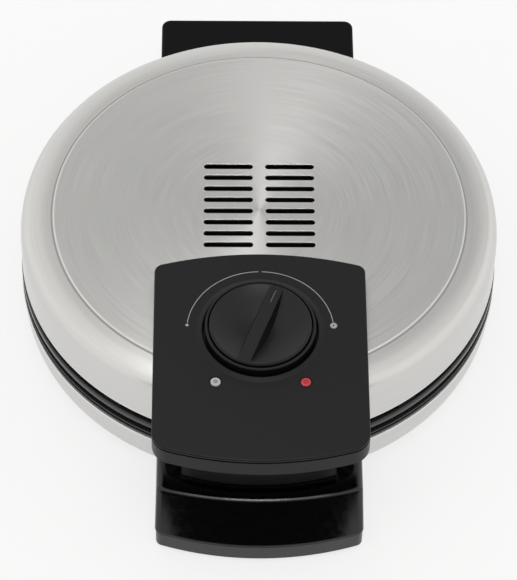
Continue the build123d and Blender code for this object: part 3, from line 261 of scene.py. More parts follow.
@dataclass(frozen=True)
class SpunStainless:
    """Stainless sheet, 18/10, drawn to shape and brushed while it spins.

    The brushing leaves rings round the axis, so highlights spread from the middle outwards as a fan. On the lid a
    thin darker ring is painted at the foot of its raised disc: painted shade for the crease there.
    """

    name: str = "brushed_stainless_steel"
    colour: str = "D5D4D2"
    dull: str = "CECDCB"
    roughness_low: float = 0.28
    roughness_high: float = 0.34
    anisotropy: float = 0.72
    # A quarter turn lays the highlight across the rings.
    brush_turn: float = 0.25
    # Width of one brush line. The real ones, about 0.05 mm, are too fine to show, so they are drawn coarser.
    line: float = 0.45
    # How far a line runs round before it fades, in radians, and how much finer detail it carries
    line_run: float = 0.5
    detail: float = 3.0
    # Depth of a line, and radius of the sheet's softened edges
    depth: float = 0.0008
    edge: float = 0.6
    # The ring of painted shade at the foot of the lid's disc: its radius, or 0 for none, its width, and the shares
    # of the width where it starts to fade and is gone, both measured from its middle, then its colour.
    foot_radius: float = 0.0
    foot_width: float = 1.3
    foot_core: float = 0.2
    foot_end: float = 0.5
    foot_shade: str = "949290"

    def brush_lines(self, tree: bpy.types.NodeTree, centred: bpy.types.NodeSocket, flat: bpy.types.NodeSocket,
                    out: bpy.types.NodeSocket) -> bpy.types.NodeSocket:
        """Draws the rings of the brush: fine outwards and upwards, long round the axis.

        Args:
            tree: The material's node tree.
            centred: Each point as seen from the axis.
            flat: The same without its height.
            out: Its distance from the axis.

        Returns:
            The noise's value socket, from 0 to 1.
        """
        way = add_node(tree, "ShaderNodeVectorMath", links={0: flat}, operation="NORMALIZE")
        height = add_node(tree, "ShaderNodeSeparateXYZ", links={"Vector": centred})
        across = add_node(tree, "ShaderNodeMath", links={0: out, 1: height.outputs["Z"]}, operation="ADD")
        lines = add_node(tree, "ShaderNodeMath", {1: 1 / (self.line * MM)}, {0: across.outputs["Value"]},
                         operation="MULTIPLY")
        run = add_node(tree, "ShaderNodeVectorMath", {"Scale": 1 / self.line_run}, {0: way.outputs["Vector"]},
                       operation="SCALE")
        lift = add_node(tree, "ShaderNodeCombineXYZ", links={"Z": lines.outputs["Value"]})
        spot = add_node(tree, "ShaderNodeVectorMath", links={0: run.outputs["Vector"], 1: lift.outputs["Vector"]},
                        operation="ADD")
        noise = add_node(tree, "ShaderNodeTexNoise", {"Scale": 1.0, "Detail": self.detail},
                         {"Vector": spot.outputs["Vector"]})
        return noise.outputs["Fac"]

    def paint_foot_shade(self, tree: bpy.types.NodeTree, colour: bpy.types.NodeSocket,
                  out: bpy.types.NodeSocket) -> bpy.types.NodeSocket:
        """Paints the ring of shade at the disc's foot over the steel's colour.

        Args:
            tree: The material's node tree.
            colour: The steel's colour.
            out: Each point's distance from the axis.

        Returns:
            The socket with the colour of both.
        """
        off = add_node(tree, "ShaderNodeMath", {1: self.foot_radius * MM}, {0: out}, operation="SUBTRACT")
        off = add_node(tree, "ShaderNodeMath", links={0: off.outputs["Value"]}, operation="ABSOLUTE")
        ring = add_node(tree, "ShaderNodeMapRange",
                        {"From Min": self.foot_core * self.foot_width * MM,
                         "From Max": self.foot_end * self.foot_width * MM, "To Min": 1.0, "To Max": 0.0},
                        {"Value": off.outputs["Value"]}, interpolation_type="SMOOTHSTEP")
        mixed = add_node(tree, "ShaderNodeMix", {MIX_B: to_linear(self.foot_shade)},
                         {MIX_SHARE: ring.outputs["Result"], MIX_A: colour}, data_type="RGBA")
        return mixed.outputs[MIX_RESULT]

    def build(self) -> bpy.types.Material:
        """Makes the material.

        Returns:
            The material.
        """
        material, tree, shader = new_surface(self.name, Metallic=1.0, Anisotropic=self.anisotropy,
                                             Anisotropic_Rotation=self.brush_turn)
        centred, flat, out = from_axis(tree, 0.0, AXIS_Y)
        value = self.brush_lines(tree, centred, flat, out)
        colour = tint(tree, value, self.dull, self.colour)
        # Painted shade: a darker ring where the foot of the lid's raised disc lies in shadow.
        if self.foot_radius:
            colour = self.paint_foot_shade(tree, colour, out)
        tangent = add_node(tree, "ShaderNodeTangent", direction_type="RADIAL", axis="Z")
        tree.links.new(colour, shader.inputs["Base Color"])
        tree.links.new(remap(tree, value, self.roughness_low, self.roughness_high), shader.inputs["Roughness"])
        tree.links.new(relief(tree, value, self.depth, self.edge), shader.inputs["Normal"])
        tree.links.new(tangent.outputs["Tangent"], shader.inputs["Tangent"])
        return material


@dataclass(frozen=True)
class Grained:
    """A finish with an even grain, such as a moulded, coated, plated or ground surface.

    The real grain is mostly 0.05 to 0.2 mm wide, which is too fine to show, so it is drawn a few times coarser.
    """

    name: str
    dark: str
    light: str
    grain_size: float
    roughness_low: float
    roughness_high: float
    metallic: float = 0.0
    specular: float = 0.5
    depth: float = 0.01
    edge: float = 0.25

    def build(self) -> bpy.types.Material:
        """Makes the material.

        Returns:
            The material.
        """
        material, tree, shader = new_surface(self.name, Metallic=self.metallic, Specular_IOR_Level=self.specular)
        value = grain(tree, self.grain_size)
        tree.links.new(tint(tree, value, self.dark, self.light), shader.inputs["Base Color"])
        tree.links.new(remap(tree, value, self.roughness_low, self.roughness_high), shader.inputs["Roughness"])
        tree.links.new(relief(tree, value, self.depth, self.edge), shader.inputs["Normal"])
        return material


@dataclass(frozen=True)
class Translucent:
    """A clear or tinted solid that light goes into, and comes back from coloured.

    Where a centre and a radius are given, in millimetres, the colour runs from the core's at the centre to the
    rim's at the radius: painted light, with the rim as painted highlight and the core as painted shade.
    """

    name: str
    rim: str
    core: str
    transmission: float
    centre: Point2 = (0.0, 0.0)
    radius: float = 0.0
    # Refractive index of acrylic, which is close to that of the bulbs' glass too
    ior: float = 1.49
    roughness: float = 0.22
    grain_size: float = 0.8
    depth: float = 0.004

    def build(self) -> bpy.types.Material:
        """Makes the material.

        Returns:
            The material.
        """
        material, tree, shader = new_surface(self.name, IOR=self.ior, Roughness=self.roughness,
                                             Transmission_Weight=self.transmission)
        value = grain(tree, self.grain_size)
        spread = value
        # Painted light: the colour runs from a darker core to a lighter rim.
        if self.radius:
            _, _, out = from_axis(tree, *self.centre)
            share = add_node(tree, "ShaderNodeMath", {1: 1 / (self.radius * MM)}, {0: out}, operation="MULTIPLY")
            spread = share.outputs["Value"]
        tree.links.new(tint(tree, spread, self.core, self.rim), shader.inputs["Base Color"])
        tree.links.new(relief(tree, value, self.depth), shader.inputs["Normal"])
        return material


class Finish(Enum):
    """Every finish on the machine, by what it really is; a few also carry painted light or shade in their colour."""

    # 18/10 sheet, brushed while spinning: warm grey with fine rings and highlights that fan out
    BOWL = SpunStainless()
    # The same sheet on the lid, with a ring of painted shade at the foot of its disc
    LID = SpunStainless("brushed_stainless_steel_lid", foot_radius=98.0)
    # Heat-proof PBT, moulded in a spark-eroded tool: near black, a fine even grain, half dull
    MOULDED = Grained("black_pbt_moulded", "0B0B0C", "101011", 0.5, 0.36, 0.46, depth=0.012, specular=0.22)
    # The same resin on the rear block, from a duller tool, with hardly a sheen; its colour, darker than the panel's,
    # is painted shade for how the light falls on the block
    REAR = Grained("black_pbt_matt_painted_shade", "050506", "080809", 0.5, 0.45, 0.55, depth=0.012, specular=0.08)
    # The same resin on the leg's tray, from a smoother tool: a dark grey that takes up the floor's light
    LEG = Grained("black_pbt_smooth", "0E0E0F", "141415", 0.5, 0.28, 0.36, depth=0.008)
    # Phenolic resin from a polished tool: deep black with clear reflections and a soft light line on its crest
    POLISHED = Grained("black_phenolic_polished", "030303", "050505", 3.0, 0.07, 0.11, depth=0.002, edge=1.2)
    # ABS from a satin tool: black, with soft broad highlights on the ridge and the hollows beside it
    KNOB = Grained("black_abs_satin", "080809", "0C0C0D", 0.4, 0.34, 0.42, depth=0.006, specular=0.28)
    # Die-cast aluminium under a sprayed and baked non-stick film: charcoal with faint specks and a low gloss
    NON_STICK = Grained("non_stick_on_cast_aluminium", "1C1C1D", "272728", 0.9, 0.17, 0.26, depth=0.008)
    # Steel sheet with a baked black paint: even, black and half dull
    PAINTED = Grained("black_painted_sheet_steel", "0D0D0D", "131313", 0.7, 0.4, 0.5)
    # Baffle under the vents, sprayed with a matt high-heat paint: the blackest surface, so the slots look deep
    SOOT_BLACK = Grained("matt_high_heat_paint", "030303", "050505", 0.7, 0.75, 0.85, specular=0.06)
    # Small steel screws, zinc plated: a bright, slightly blue grey
    ZINC = Grained("zinc_plated_steel", "A3A5A8", "B5B7BA", 0.3, 0.28, 0.4, metallic=1.0, depth=0.003)
    # Ground steel pins and brackets: a warm grey with sharp highlights
    GROUND = Grained("ground_steel", "A9A7A3", "BBB9B5", 0.25, 0.2, 0.3, metallic=1.0, depth=0.002)
    # Spring steel, blackened in an oxide bath: nearly black, with the dull gleam of metal
    BLACKENED = Grained("blackened_spring_steel", "1B1B1D", "262628", 0.6, 0.36, 0.48, metallic=0.7, depth=0.004)
    # Steel sheath of the heater, browned by heat: cloudy brown patches a few millimetres wide
    HEATER = Grained("heat_stained_steel_sheath", "3A322C", "57504A", 4.0, 0.4, 0.55, metallic=0.9)
    # Edge of the stainless sheet, turned over and left bright: a thin line of light
    HEM = Grained("polished_stainless_hem", "D6D5D3", "DEDDDB", 0.8, 0.12, 0.2, metallic=1.0, depth=0.001, edge=0.0)
    # Rolled aluminium of the reflectors: pale and blurred, like a worn mirror
    REFLECTOR = Grained("rolled_aluminium", "C9CBCD", "D6D7D8", 0.8, 0.22, 0.34, metallic=1.0, depth=0.003)
    # Thermostat can, nickel plated: a yellowish bright grey
    NICKEL = Grained("nickel_plated_steel", "A39D92", "B3ADA2", 0.8, 0.25, 0.38, metallic=1.0, depth=0.003)
    # Feet and lead inlet, moulded EPDM rubber: black and dull, without highlights
    RUBBER = Grained("black_epdm_rubber", "111111", "191919", 0.5, 0.68, 0.82, depth=0.02, specular=0.35)
    # Steatite of the terminal block and the lamp bar, fired without a glaze: off-white and chalky
    CERAMIC = Grained("unglazed_steatite", "CFCABB", "DDD8CA", 0.6, 0.5, 0.62)
    # Moulded acrylic of the clear lens, with a pale ring round a darker core painted in: a painted highlight at its
    # rim and painted shade in its middle
    CLEAR_LENS = Translucent("clear_acrylic_lens", "B2B2B0", "828280", 0.1, (-20.3, -101.2), 2.3)
    # The same in red: a painted highlight at its rim, and painted shade where it lies over the unlit bulb
    RED_LENS = Translucent("red_acrylic_lens", "B83840", "A02830", 0.1, (20.3, -101.2), 2.3)
    # Blown glass of the neon bulbs behind them: clear with a warm cast
    BULB = Translucent("neon_bulb_glass", "E8E2D2", "DCD4C0", 0.85)
    # Pad-printed dial marks: thin light grey ink, flat and dull
    PRINT = Grained("light_grey_print", "8E8E8C", "9A9A98", 0.4, 0.5, 0.6, depth=0.002, edge=0.0)
    # Dim grey stroke on the floor of the knob's groove: a painted highlight, for the light that the engraved groove
    # catches
    GROOVE_HIGHLIGHT = Grained("painted_groove_highlight", "5E5E5D", "6E6E6D", 0.4, 0.5, 0.6, depth=0.002, edge=0.0)


class Paintbox:
    """Makes each finish once and hands it out."""

    def __init__(self) -> None:
        """Starts with no finish made."""
        self.made: dict[Finish, bpy.types.Material] = {}

    def get(self, finish: Finish) -> bpy.types.Material:
        """Gives a finish, and makes it when it is first asked for.

        Args:
            finish: The finish asked for.

        Returns:
            Its material.
        """
        if finish not in self.made:
            self.made[finish] = finish.value.build()
        return self.made[finish]

    def dress(self, target: bpy.types.Object, finish: Finish) -> None:
        """Puts one finish all over an object."""
        target.data.materials.clear()
        target.data.materials.append(self.get(finish))


def knob_seat() -> Matrix:
    """Reads the knob's joint for the place and the tilt of the panel's top.

    Returns:
        The move from the origin to the panel's top, on the knob's axis.
    """
    joint = next(j for j in frame["joints"] if j["name"] == "knob_turn")
    normal = Vector(joint["axis"]).normalized()
    across = Vector((1.0, 0.0, 0.0))
    turn = Matrix((across, normal.cross(across), normal)).transposed().to_4x4()
    return Matrix.Translation(Vector(joint["pos_m"])) @ turn


def lathe(outline: list[Point2], start: float = 0.0, sweep: float = 360.0, steps: int = 128) -> bmesh.types.BMesh:
    """Turns a closed outline round the Z axis.

    Args:
        outline: Points as radius and height in millimetres, counter-clockwise.
        start: Angle of the first section, in degrees from X.
        sweep: How far round the outline goes, in degrees.
        steps: Number of sections in a full turn.

    Returns:
        The mesh in metres, closed at its ends if it isn't a full turn.
    """
    mesh = bmesh.new()
    whole = abs(sweep) >= 360.0
    count = max(2, round(steps * abs(sweep) / 360.0))
    sections = []
    for i in range(count if whole else count + 1):
        turn = math.radians(start + sweep * i / count)
        sections.append([mesh.verts.new((r * math.cos(turn) * MM, r * math.sin(turn) * MM, z * MM))
                         for r, z in outline])
    pairs = list(zip(sections, sections[1:] + sections[:1])) if whole else list(zip(sections, sections[1:]))
    for near, far in pairs:
        for i, j in zip(range(len(outline)), [*range(1, len(outline)), 0]):
            mesh.faces.new((near[i], far[i], far[j], near[j]))
    if not whole:
        mesh.faces.new(sections[0])
        mesh.faces.new(list(reversed(sections[-1])))
    bmesh.ops.remove_doubles(mesh, verts=mesh.verts, dist=WELD)
    bmesh.ops.recalc_face_normals(mesh, faces=mesh.faces)
    return mesh


def rounded(centre: Point2, radius: float, points: int = 16) -> list[Point2]:
    """Gives a round outline.

    Args:
        centre: Its middle, as radius and height in millimetres.
        radius: Its radius.
        points: How many corners it gets.

    Returns:
        The outline's points.
    """
    turns = [2 * math.pi * i / points for i in range(points)]
    return [(centre[0] + radius * math.cos(t), centre[1] + radius * math.sin(t)) for t in turns]


@dataclass
class SubAssembly:
    """A group of pieces: it dresses its CAD nodes and adds the pieces that only the scene has."""

    paint: Paintbox
    finishes: ClassVar[dict[str, Finish]] = {}

    def dress(self) -> None:
        """Gives each CAD node of the group its finish."""
        for name, finish in self.finishes.items():
            self.paint.dress(frame["nodes"][name], finish)
            log.info("dressed %s in %s", name, finish.value.name)

    def add(self, name: str, mesh: bmesh.types.BMesh, finish: Finish, body: Body, slot: str) -> bpy.types.Object:
        """Makes a piece from a mesh.

        Args:
            name: Name of the piece.
            mesh: Its shape, in place; it is freed here.
            finish: Its finish.
            body: The body that it rides on.
            slot: The record's material slot that it belongs to; not used.

        Returns:
            The piece.
        """
        data = bpy.data.meshes.new(name)
        mesh.to_mesh(data)
        mesh.free()
        data.shade_smooth()
        piece = bpy.data.objects.new(name, data)
        bpy.context.scene.collection.objects.link(piece)
        self.paint.dress(piece, finish)
        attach(piece, body.value)
        log.info("made %s in %s on %s", name, finish.value.name, body.value)
        return piece

    def build(self) -> None:
        """Makes the whole group."""
        self.dress()


@dataclass
class SteelShells(SubAssembly):
    """Bowl and lid, with the turned-over edges of their sheets."""

    finishes: ClassVar[dict[str, Finish]] = {
        "base_shell": Finish.BOWL,
        "lid_shell": Finish.LID,
        "lid_bracket": Finish.GROUND,
        "bracket_screws": Finish.ZINC,
    }
    # Radius of the rolled edge, and thickness of the sheet
    hem: float = 0.55
    sheet: float = 0.8
    # The bowl's bead: how far it lies below the rim, and how far out
    bead_drop: float = 0.9
    bead_out: float = 0.6
    steps: int = 256

    def add_hem(self, name: str, node: str, body: Body, upper: bool) -> None:
        """Adds the rounded edge of one shell; the bowl's is a bead just under its rim.

        Args:
            name: Name of the piece.
            node: The shell whose edge it is.
            body: The body that carries the shell.
            upper: Whether the edge is the shell's upper one.
        """
        low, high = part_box(node)
        radius = (high.x - low.x) / 2 / MM - self.sheet / 2
        height = low.z / MM
        if upper:
            radius += self.bead_out
            height = high.z / MM - self.bead_drop
        mesh = lathe(rounded((radius, height), self.hem), steps=self.steps)
        bmesh.ops.translate(mesh, verts=mesh.verts, vec=(0.0, AXIS_Y * MM, 0.0))
        self.add(name, mesh, Finish.HEM, body, "steel_shell")

    def build(self) -> None:
        """Dresses the shells and adds their edges."""
        self.dress()
        self.add_hem("lid_hem", "lid_shell", Body.LID, upper=False)
        self.add_hem("bowl_hem", "base_shell", Body.BASE, upper=True)


@dataclass
class HeatingHalves(SubAssembly):
    """Baking plates with their heaters, reflectors, clips and screws."""

    finishes: ClassVar[dict[str, Finish]] = {
        "lower_baking_plate": Finish.NON_STICK,
        "upper_baking_plate": Finish.NON_STICK,
        "lower_heating_element": Finish.HEATER,
        "upper_heating_element": Finish.HEATER,
        "lower_heat_shield": Finish.REFLECTOR,
        "upper_heat_shield": Finish.REFLECTOR,
        "lower_plate_clips": Finish.BLACKENED,
        "upper_plate_clips": Finish.BLACKENED,
        "lower_plate_screws": Finish.ZINC,
        "upper_plate_screws": Finish.ZINC,
        "vent_baffle": Finish.SOOT_BLACK,
        "terminal_block": Finish.CERAMIC,
        "thermostat": Finish.NICKEL,
    }


@dataclass
class Screws(SubAssembly):
    """The screws of the leg, and those that show from below: pan heads with a cross recess."""

    finishes: ClassVar[dict[str, Finish]] = {"leg_screws": Finish.ZINC}
    # The head: its radius and height, the share of the height that its dome takes, and where its upright side starts
    head: float = 3.0
    head_height: float = 2.0
    dome: float = 0.6
    side: float = 0.7
    # The shank: its radius, and the share of it that is left at the tip
    shank: float = 1.5
    tip: float = 0.4
    # The cross: its length, width and depth, and the share of them that is left at its bottom
    cross: float = 3.4
    cross_width: float = 0.8
    cross_depth: float = 1.2
    cross_taper: float = 0.45
    steps: int = 32
    # Edges sharper than this, in degrees, stay sharp in the light.
    sharp: float = 35.0
    # The floor's screws stand evenly on a circle round the body's axis.
    floor_count: int = 3
    floor_circle: float = 61.0
    tray_spots: ClassVar[list[Point2]] = [(-22.0, -129.15), (22.0, -129.15)]
    housing_spots: ClassVar[list[Point2]] = [(-30.0, -126.15), (30.0, -126.15)]

    def outline(self, length: float) -> list[Point2]:
        """Gives the outline of a screw that stands on its head.

        Args:
            length: Its whole length in millimetres.

        Returns:
            Points as radius and height.
        """
        turns = [math.radians(angle) for angle in range(0, 90, 10)]
        dome = [(self.head * math.sin(t), self.head_height * self.dome * (1 - math.cos(t))) for t in turns]
        return [*dome, (self.head, self.head_height * self.side), (self.head, self.head_height),
                (self.shank, self.head_height), (self.shank, length - self.shank), (self.shank * self.tip, length),
                (0.0, length)]

    def recess(self) -> bmesh.types.BMesh:
        """Makes the cross that is cut from the head.

        Returns:
            Two blocks that narrow towards the bottom of the cross, in metres.
        """
        mesh = bmesh.new()
        for along_x, along_y in ((self.cross, self.cross_width), (self.cross_width, self.cross)):
            for corner in bmesh.ops.create_cube(mesh, size=1.0)["verts"]:
                left = self.cross_taper if corner.co.z > 0 else 1.0
                corner.co.x *= along_x * left * MM
                corner.co.y *= along_y * left * MM
                corner.co.z *= 2 * self.cross_depth * MM
        return mesh

    def screw(self, length: float) -> bpy.types.Mesh:
        """Makes one screw at the origin with the recess cut by a boolean.

        Args:
            length: Its whole length in millimetres.

        Returns:
            The mesh.
        """
        pieces = []
        for name, mesh in (("screw_solid", lathe(self.outline(length), steps=self.steps)),
                           ("screw_cutter", self.recess())):
            data = bpy.data.meshes.new(name)
            mesh.to_mesh(data)
            mesh.free()
            pieces.append(bpy.data.objects.new(name, data))
            bpy.context.scene.collection.objects.link(pieces[-1])
        cut = pieces[0].modifiers.new("recess", "BOOLEAN")
        cut.operation = "DIFFERENCE"
        cut.use_self = True
        cut.object = pieces[1]
        bpy.context.view_layer.update()
        result = bpy.data.meshes.new_from_object(pieces[0].evaluated_get(bpy.context.evaluated_depsgraph_get()))
        for piece in pieces:
            bpy.data.objects.remove(piece)
        return result

    def replace(self, node: str, body: Body, spots: list[Point2]) -> None:
        """Puts detailed screws in place of a CAD node.

        Args:
            node: The node that they stand for.
            body: The body that carries them.
            spots: Their axes, as X and Y in millimetres.
        """
        low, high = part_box(node)
        single = self.screw((high.z - low.z) / MM)
        mesh = bmesh.new()
        for x, y in spots:
            start = len(mesh.verts)
            mesh.from_mesh(single)
            mesh.verts.ensure_lookup_table()
            bmesh.ops.translate(mesh, verts=mesh.verts[start:], vec=(x * MM, y * MM, low.z))
        piece = self.add(node + "_cross_head", mesh, Finish.ZINC, body, "screw_steel")
        sharp = piece.modifiers.new("edges", "EDGE_SPLIT")
        sharp.split_angle = math.radians(self.sharp)
        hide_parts(node)

    def build(self) -> None:
        """Dresses the hidden screws and replaces the ones that show."""
        self.dress()
        turns = [math.radians(90 + 360 / self.floor_count * i) for i in range(self.floor_count)]
        floor_spots = [(self.floor_circle * math.cos(t), AXIS_Y + self.floor_circle * math.sin(t)) for t in turns]
        self.replace("floor_screws", Body.BASE, floor_spots)
        self.replace("tray_screws", Body.BASE, self.tray_spots)
        self.replace("housing_screws", Body.LID, self.housing_spots)


@dataclass
class FrontLeg(SubAssembly):
    """Lower handle and its tray, the floor of the bowl and the pads."""

    finishes: ClassVar[dict[str, Finish]] = {
        "lower_handle": Finish.POLISHED,
        "handle_tray": Finish.LEG,
        "base_floor": Finish.PAINTED,
        "front_pads": Finish.RUBBER,
        "rear_pads": Finish.RUBBER,
    }


@dataclass
class RearHinge(SubAssembly):
    """Rear block in its two halves, with the pins and the inlet of the lead."""

    finishes: ClassVar[dict[str, Finish]] = {
        "hinge_base": Finish.REAR,
        "hinge_cover": Finish.REAR,
        "rear_cover": Finish.REAR,
        "hinge_pins": Finish.GROUND,
        "cord_gland": Finish.RUBBER,
    }


@dataclass
class ControlPanel(SubAssembly):
    """Panel with its printed scale and signal lamps."""

    finishes: ClassVar[dict[str, Finish]] = {
        "control_panel": Finish.MOULDED,
        "panel_housing": Finish.MOULDED,
        "panel_screws": Finish.ZINC,
        "lens_power": Finish.CLEAR_LENS,
        "lens_ready": Finish.RED_LENS,
        "signal_lamps": Finish.BULB,
        "lamp_carrier": Finish.CERAMIC,
    }
    # The arc: its radius, and where each half ends and starts, in degrees from the rear
    scale_radius: float = 33.5
    scale_end: float = 83.4
    scale_gap: float = 1.3
    line_width: float = 0.34
    # How far the ink reaches above the panel, and below it
    ink: float = 0.03
    # The end marks: how far past the arc's end they stand, in degrees, and their radii
    mark_past: float = 1.9
    low_mark: float = 0.75
    high_mark: float = 1.65
    high_mark_bore: float = 0.35
    arc_steps: int = 360
    mark_steps: int = 32

    def on_panel(self, mesh: bmesh.types.BMesh) -> bmesh.types.BMesh:
        """Moves a mesh from the origin to the panel's top, centred on the knob."""
        mesh.transform(knob_seat())
        return mesh

    def band(self, near: float, far: float) -> list[Point2]:
        """Outline of a printed ring between two radii, with a little ink below the surface."""
        return [(near, -self.ink), (far, -self.ink), (far, self.ink), (near, self.ink)]

    def mark(self, radius: float, bore: float, way: Side) -> bmesh.types.BMesh:
        """Makes a round mark at one end of the scale.

        Args:
            radius: Its outer radius.
            bore: Radius of the bare spot in its middle, or 0.
            way: The end of the scale.

        Returns:
            Its mesh, in place.
        """
        mesh = lathe(self.band(bore, radius), steps=self.mark_steps)
        turn = math.radians(90 - way.value * (self.scale_end + self.mark_past))
        away = (self.scale_radius * math.cos(turn) * MM, self.scale_radius * math.sin(turn) * MM, 0.0)
        bmesh.ops.translate(mesh, verts=mesh.verts, vec=away)
        return self.on_panel(mesh)

    def build(self) -> None:
        """Dresses the panel and prints its scale."""
        self.dress()
        line = self.band(self.scale_radius - self.line_width / 2, self.scale_radius + self.line_width / 2)
        sweep = self.scale_end - self.scale_gap
        for way in Side:
            start = 90 - way.value * self.scale_gap
            arc = lathe(line, start, -way.value * sweep, steps=self.arc_steps)
            self.add(f"scale_line_{way.name.lower()}", self.on_panel(arc), Finish.PRINT, Body.LID, "block_white")
        self.add("scale_mark_low", self.mark(self.low_mark, 0.0, Side.LEFT), Finish.PRINT, Body.LID, "block_white")
        self.add("scale_mark_high", self.mark(self.high_mark, self.high_mark_bore, Side.RIGHT), Finish.PRINT,
                 Body.LID, "block_white")


@dataclass
class Knob(SubAssembly):
    """Thermostat knob, with a grey stroke in its ridge's groove as a painted highlight."""

    finishes: ClassVar[dict[str, Finish]] = {
        "knob_skirt": Finish.KNOB,
        "knob_cap": Finish.KNOB,
        "knob_spindle": Finish.GROUND,
    }
    # How far the ridge is turned from straight back, in degrees clockwise from above
    turned: float = 20.5
    # Height of the ridge's top over the panel, and depth of the groove in it
    top: float = 5.3
    groove: float = 0.4
    # The stroke: its middle's distance from the knob's axis, its length, width and thickness
    stroke_middle: float = 16.8
    stroke_length: float = 7.4
    stroke_width: float = 0.55
    stroke_ink: float = 0.04
    stroke_steps: int = 8

    def stroke(self) -> bmesh.types.BMesh:
        """Makes the grey stroke with round ends, on the floor of the groove: a painted highlight for the groove.

        Returns:
            Its mesh, in place.
        """
        half = self.stroke_length / 2 - self.stroke_width / 2
        outline = []
        for end in (1, -1):
            for i in range(self.stroke_steps + 1):
                turn = math.radians(-90 * end + 90 + 180 / self.stroke_steps * i)
                outline.append((self.stroke_width / 2 * math.cos(turn),
                                end * half + self.stroke_width / 2 * math.sin(turn)))
        mesh = bmesh.new()
        low = [mesh.verts.new((x * MM, y * MM, 0.0)) for x, y in outline]
        face = mesh.faces.new(low)
        raised = bmesh.ops.extrude_face_region(mesh, geom=[face])["geom"]
        top = [part for part in raised if isinstance(part, bmesh.types.BMVert)]
        bmesh.ops.translate(mesh, verts=top, vec=(0.0, 0.0, self.stroke_ink * MM))
        bmesh.ops.recalc_face_normals(mesh, faces=mesh.faces)
        lift = Vector((0.0, self.stroke_middle, self.top - self.groove)) * MM
        bmesh.ops.translate(mesh, verts=mesh.verts, vec=lift)
        mesh.transform(knob_seat() @ Matrix.Rotation(-math.radians(self.turned), 4, "Z"))
        return mesh

    def build(self) -> None:
        """Dresses the knob and lays the painted highlight in its groove."""
        self.dress()
        # Painted highlight: a dim grey stroke for the light that the groove catches.
        self.add("knob_stroke", self.stroke(), Finish.GROOVE_HIGHLIGHT, Body.KNOB, "knob_black")


@dataclass(frozen=True)
class Softbox:
    """One soft light: where it hangs and what it faces, in metres, its size and its power in watts."""

    name: str
    place: Point3
    aim: Point3
    size: Point2
    power: float


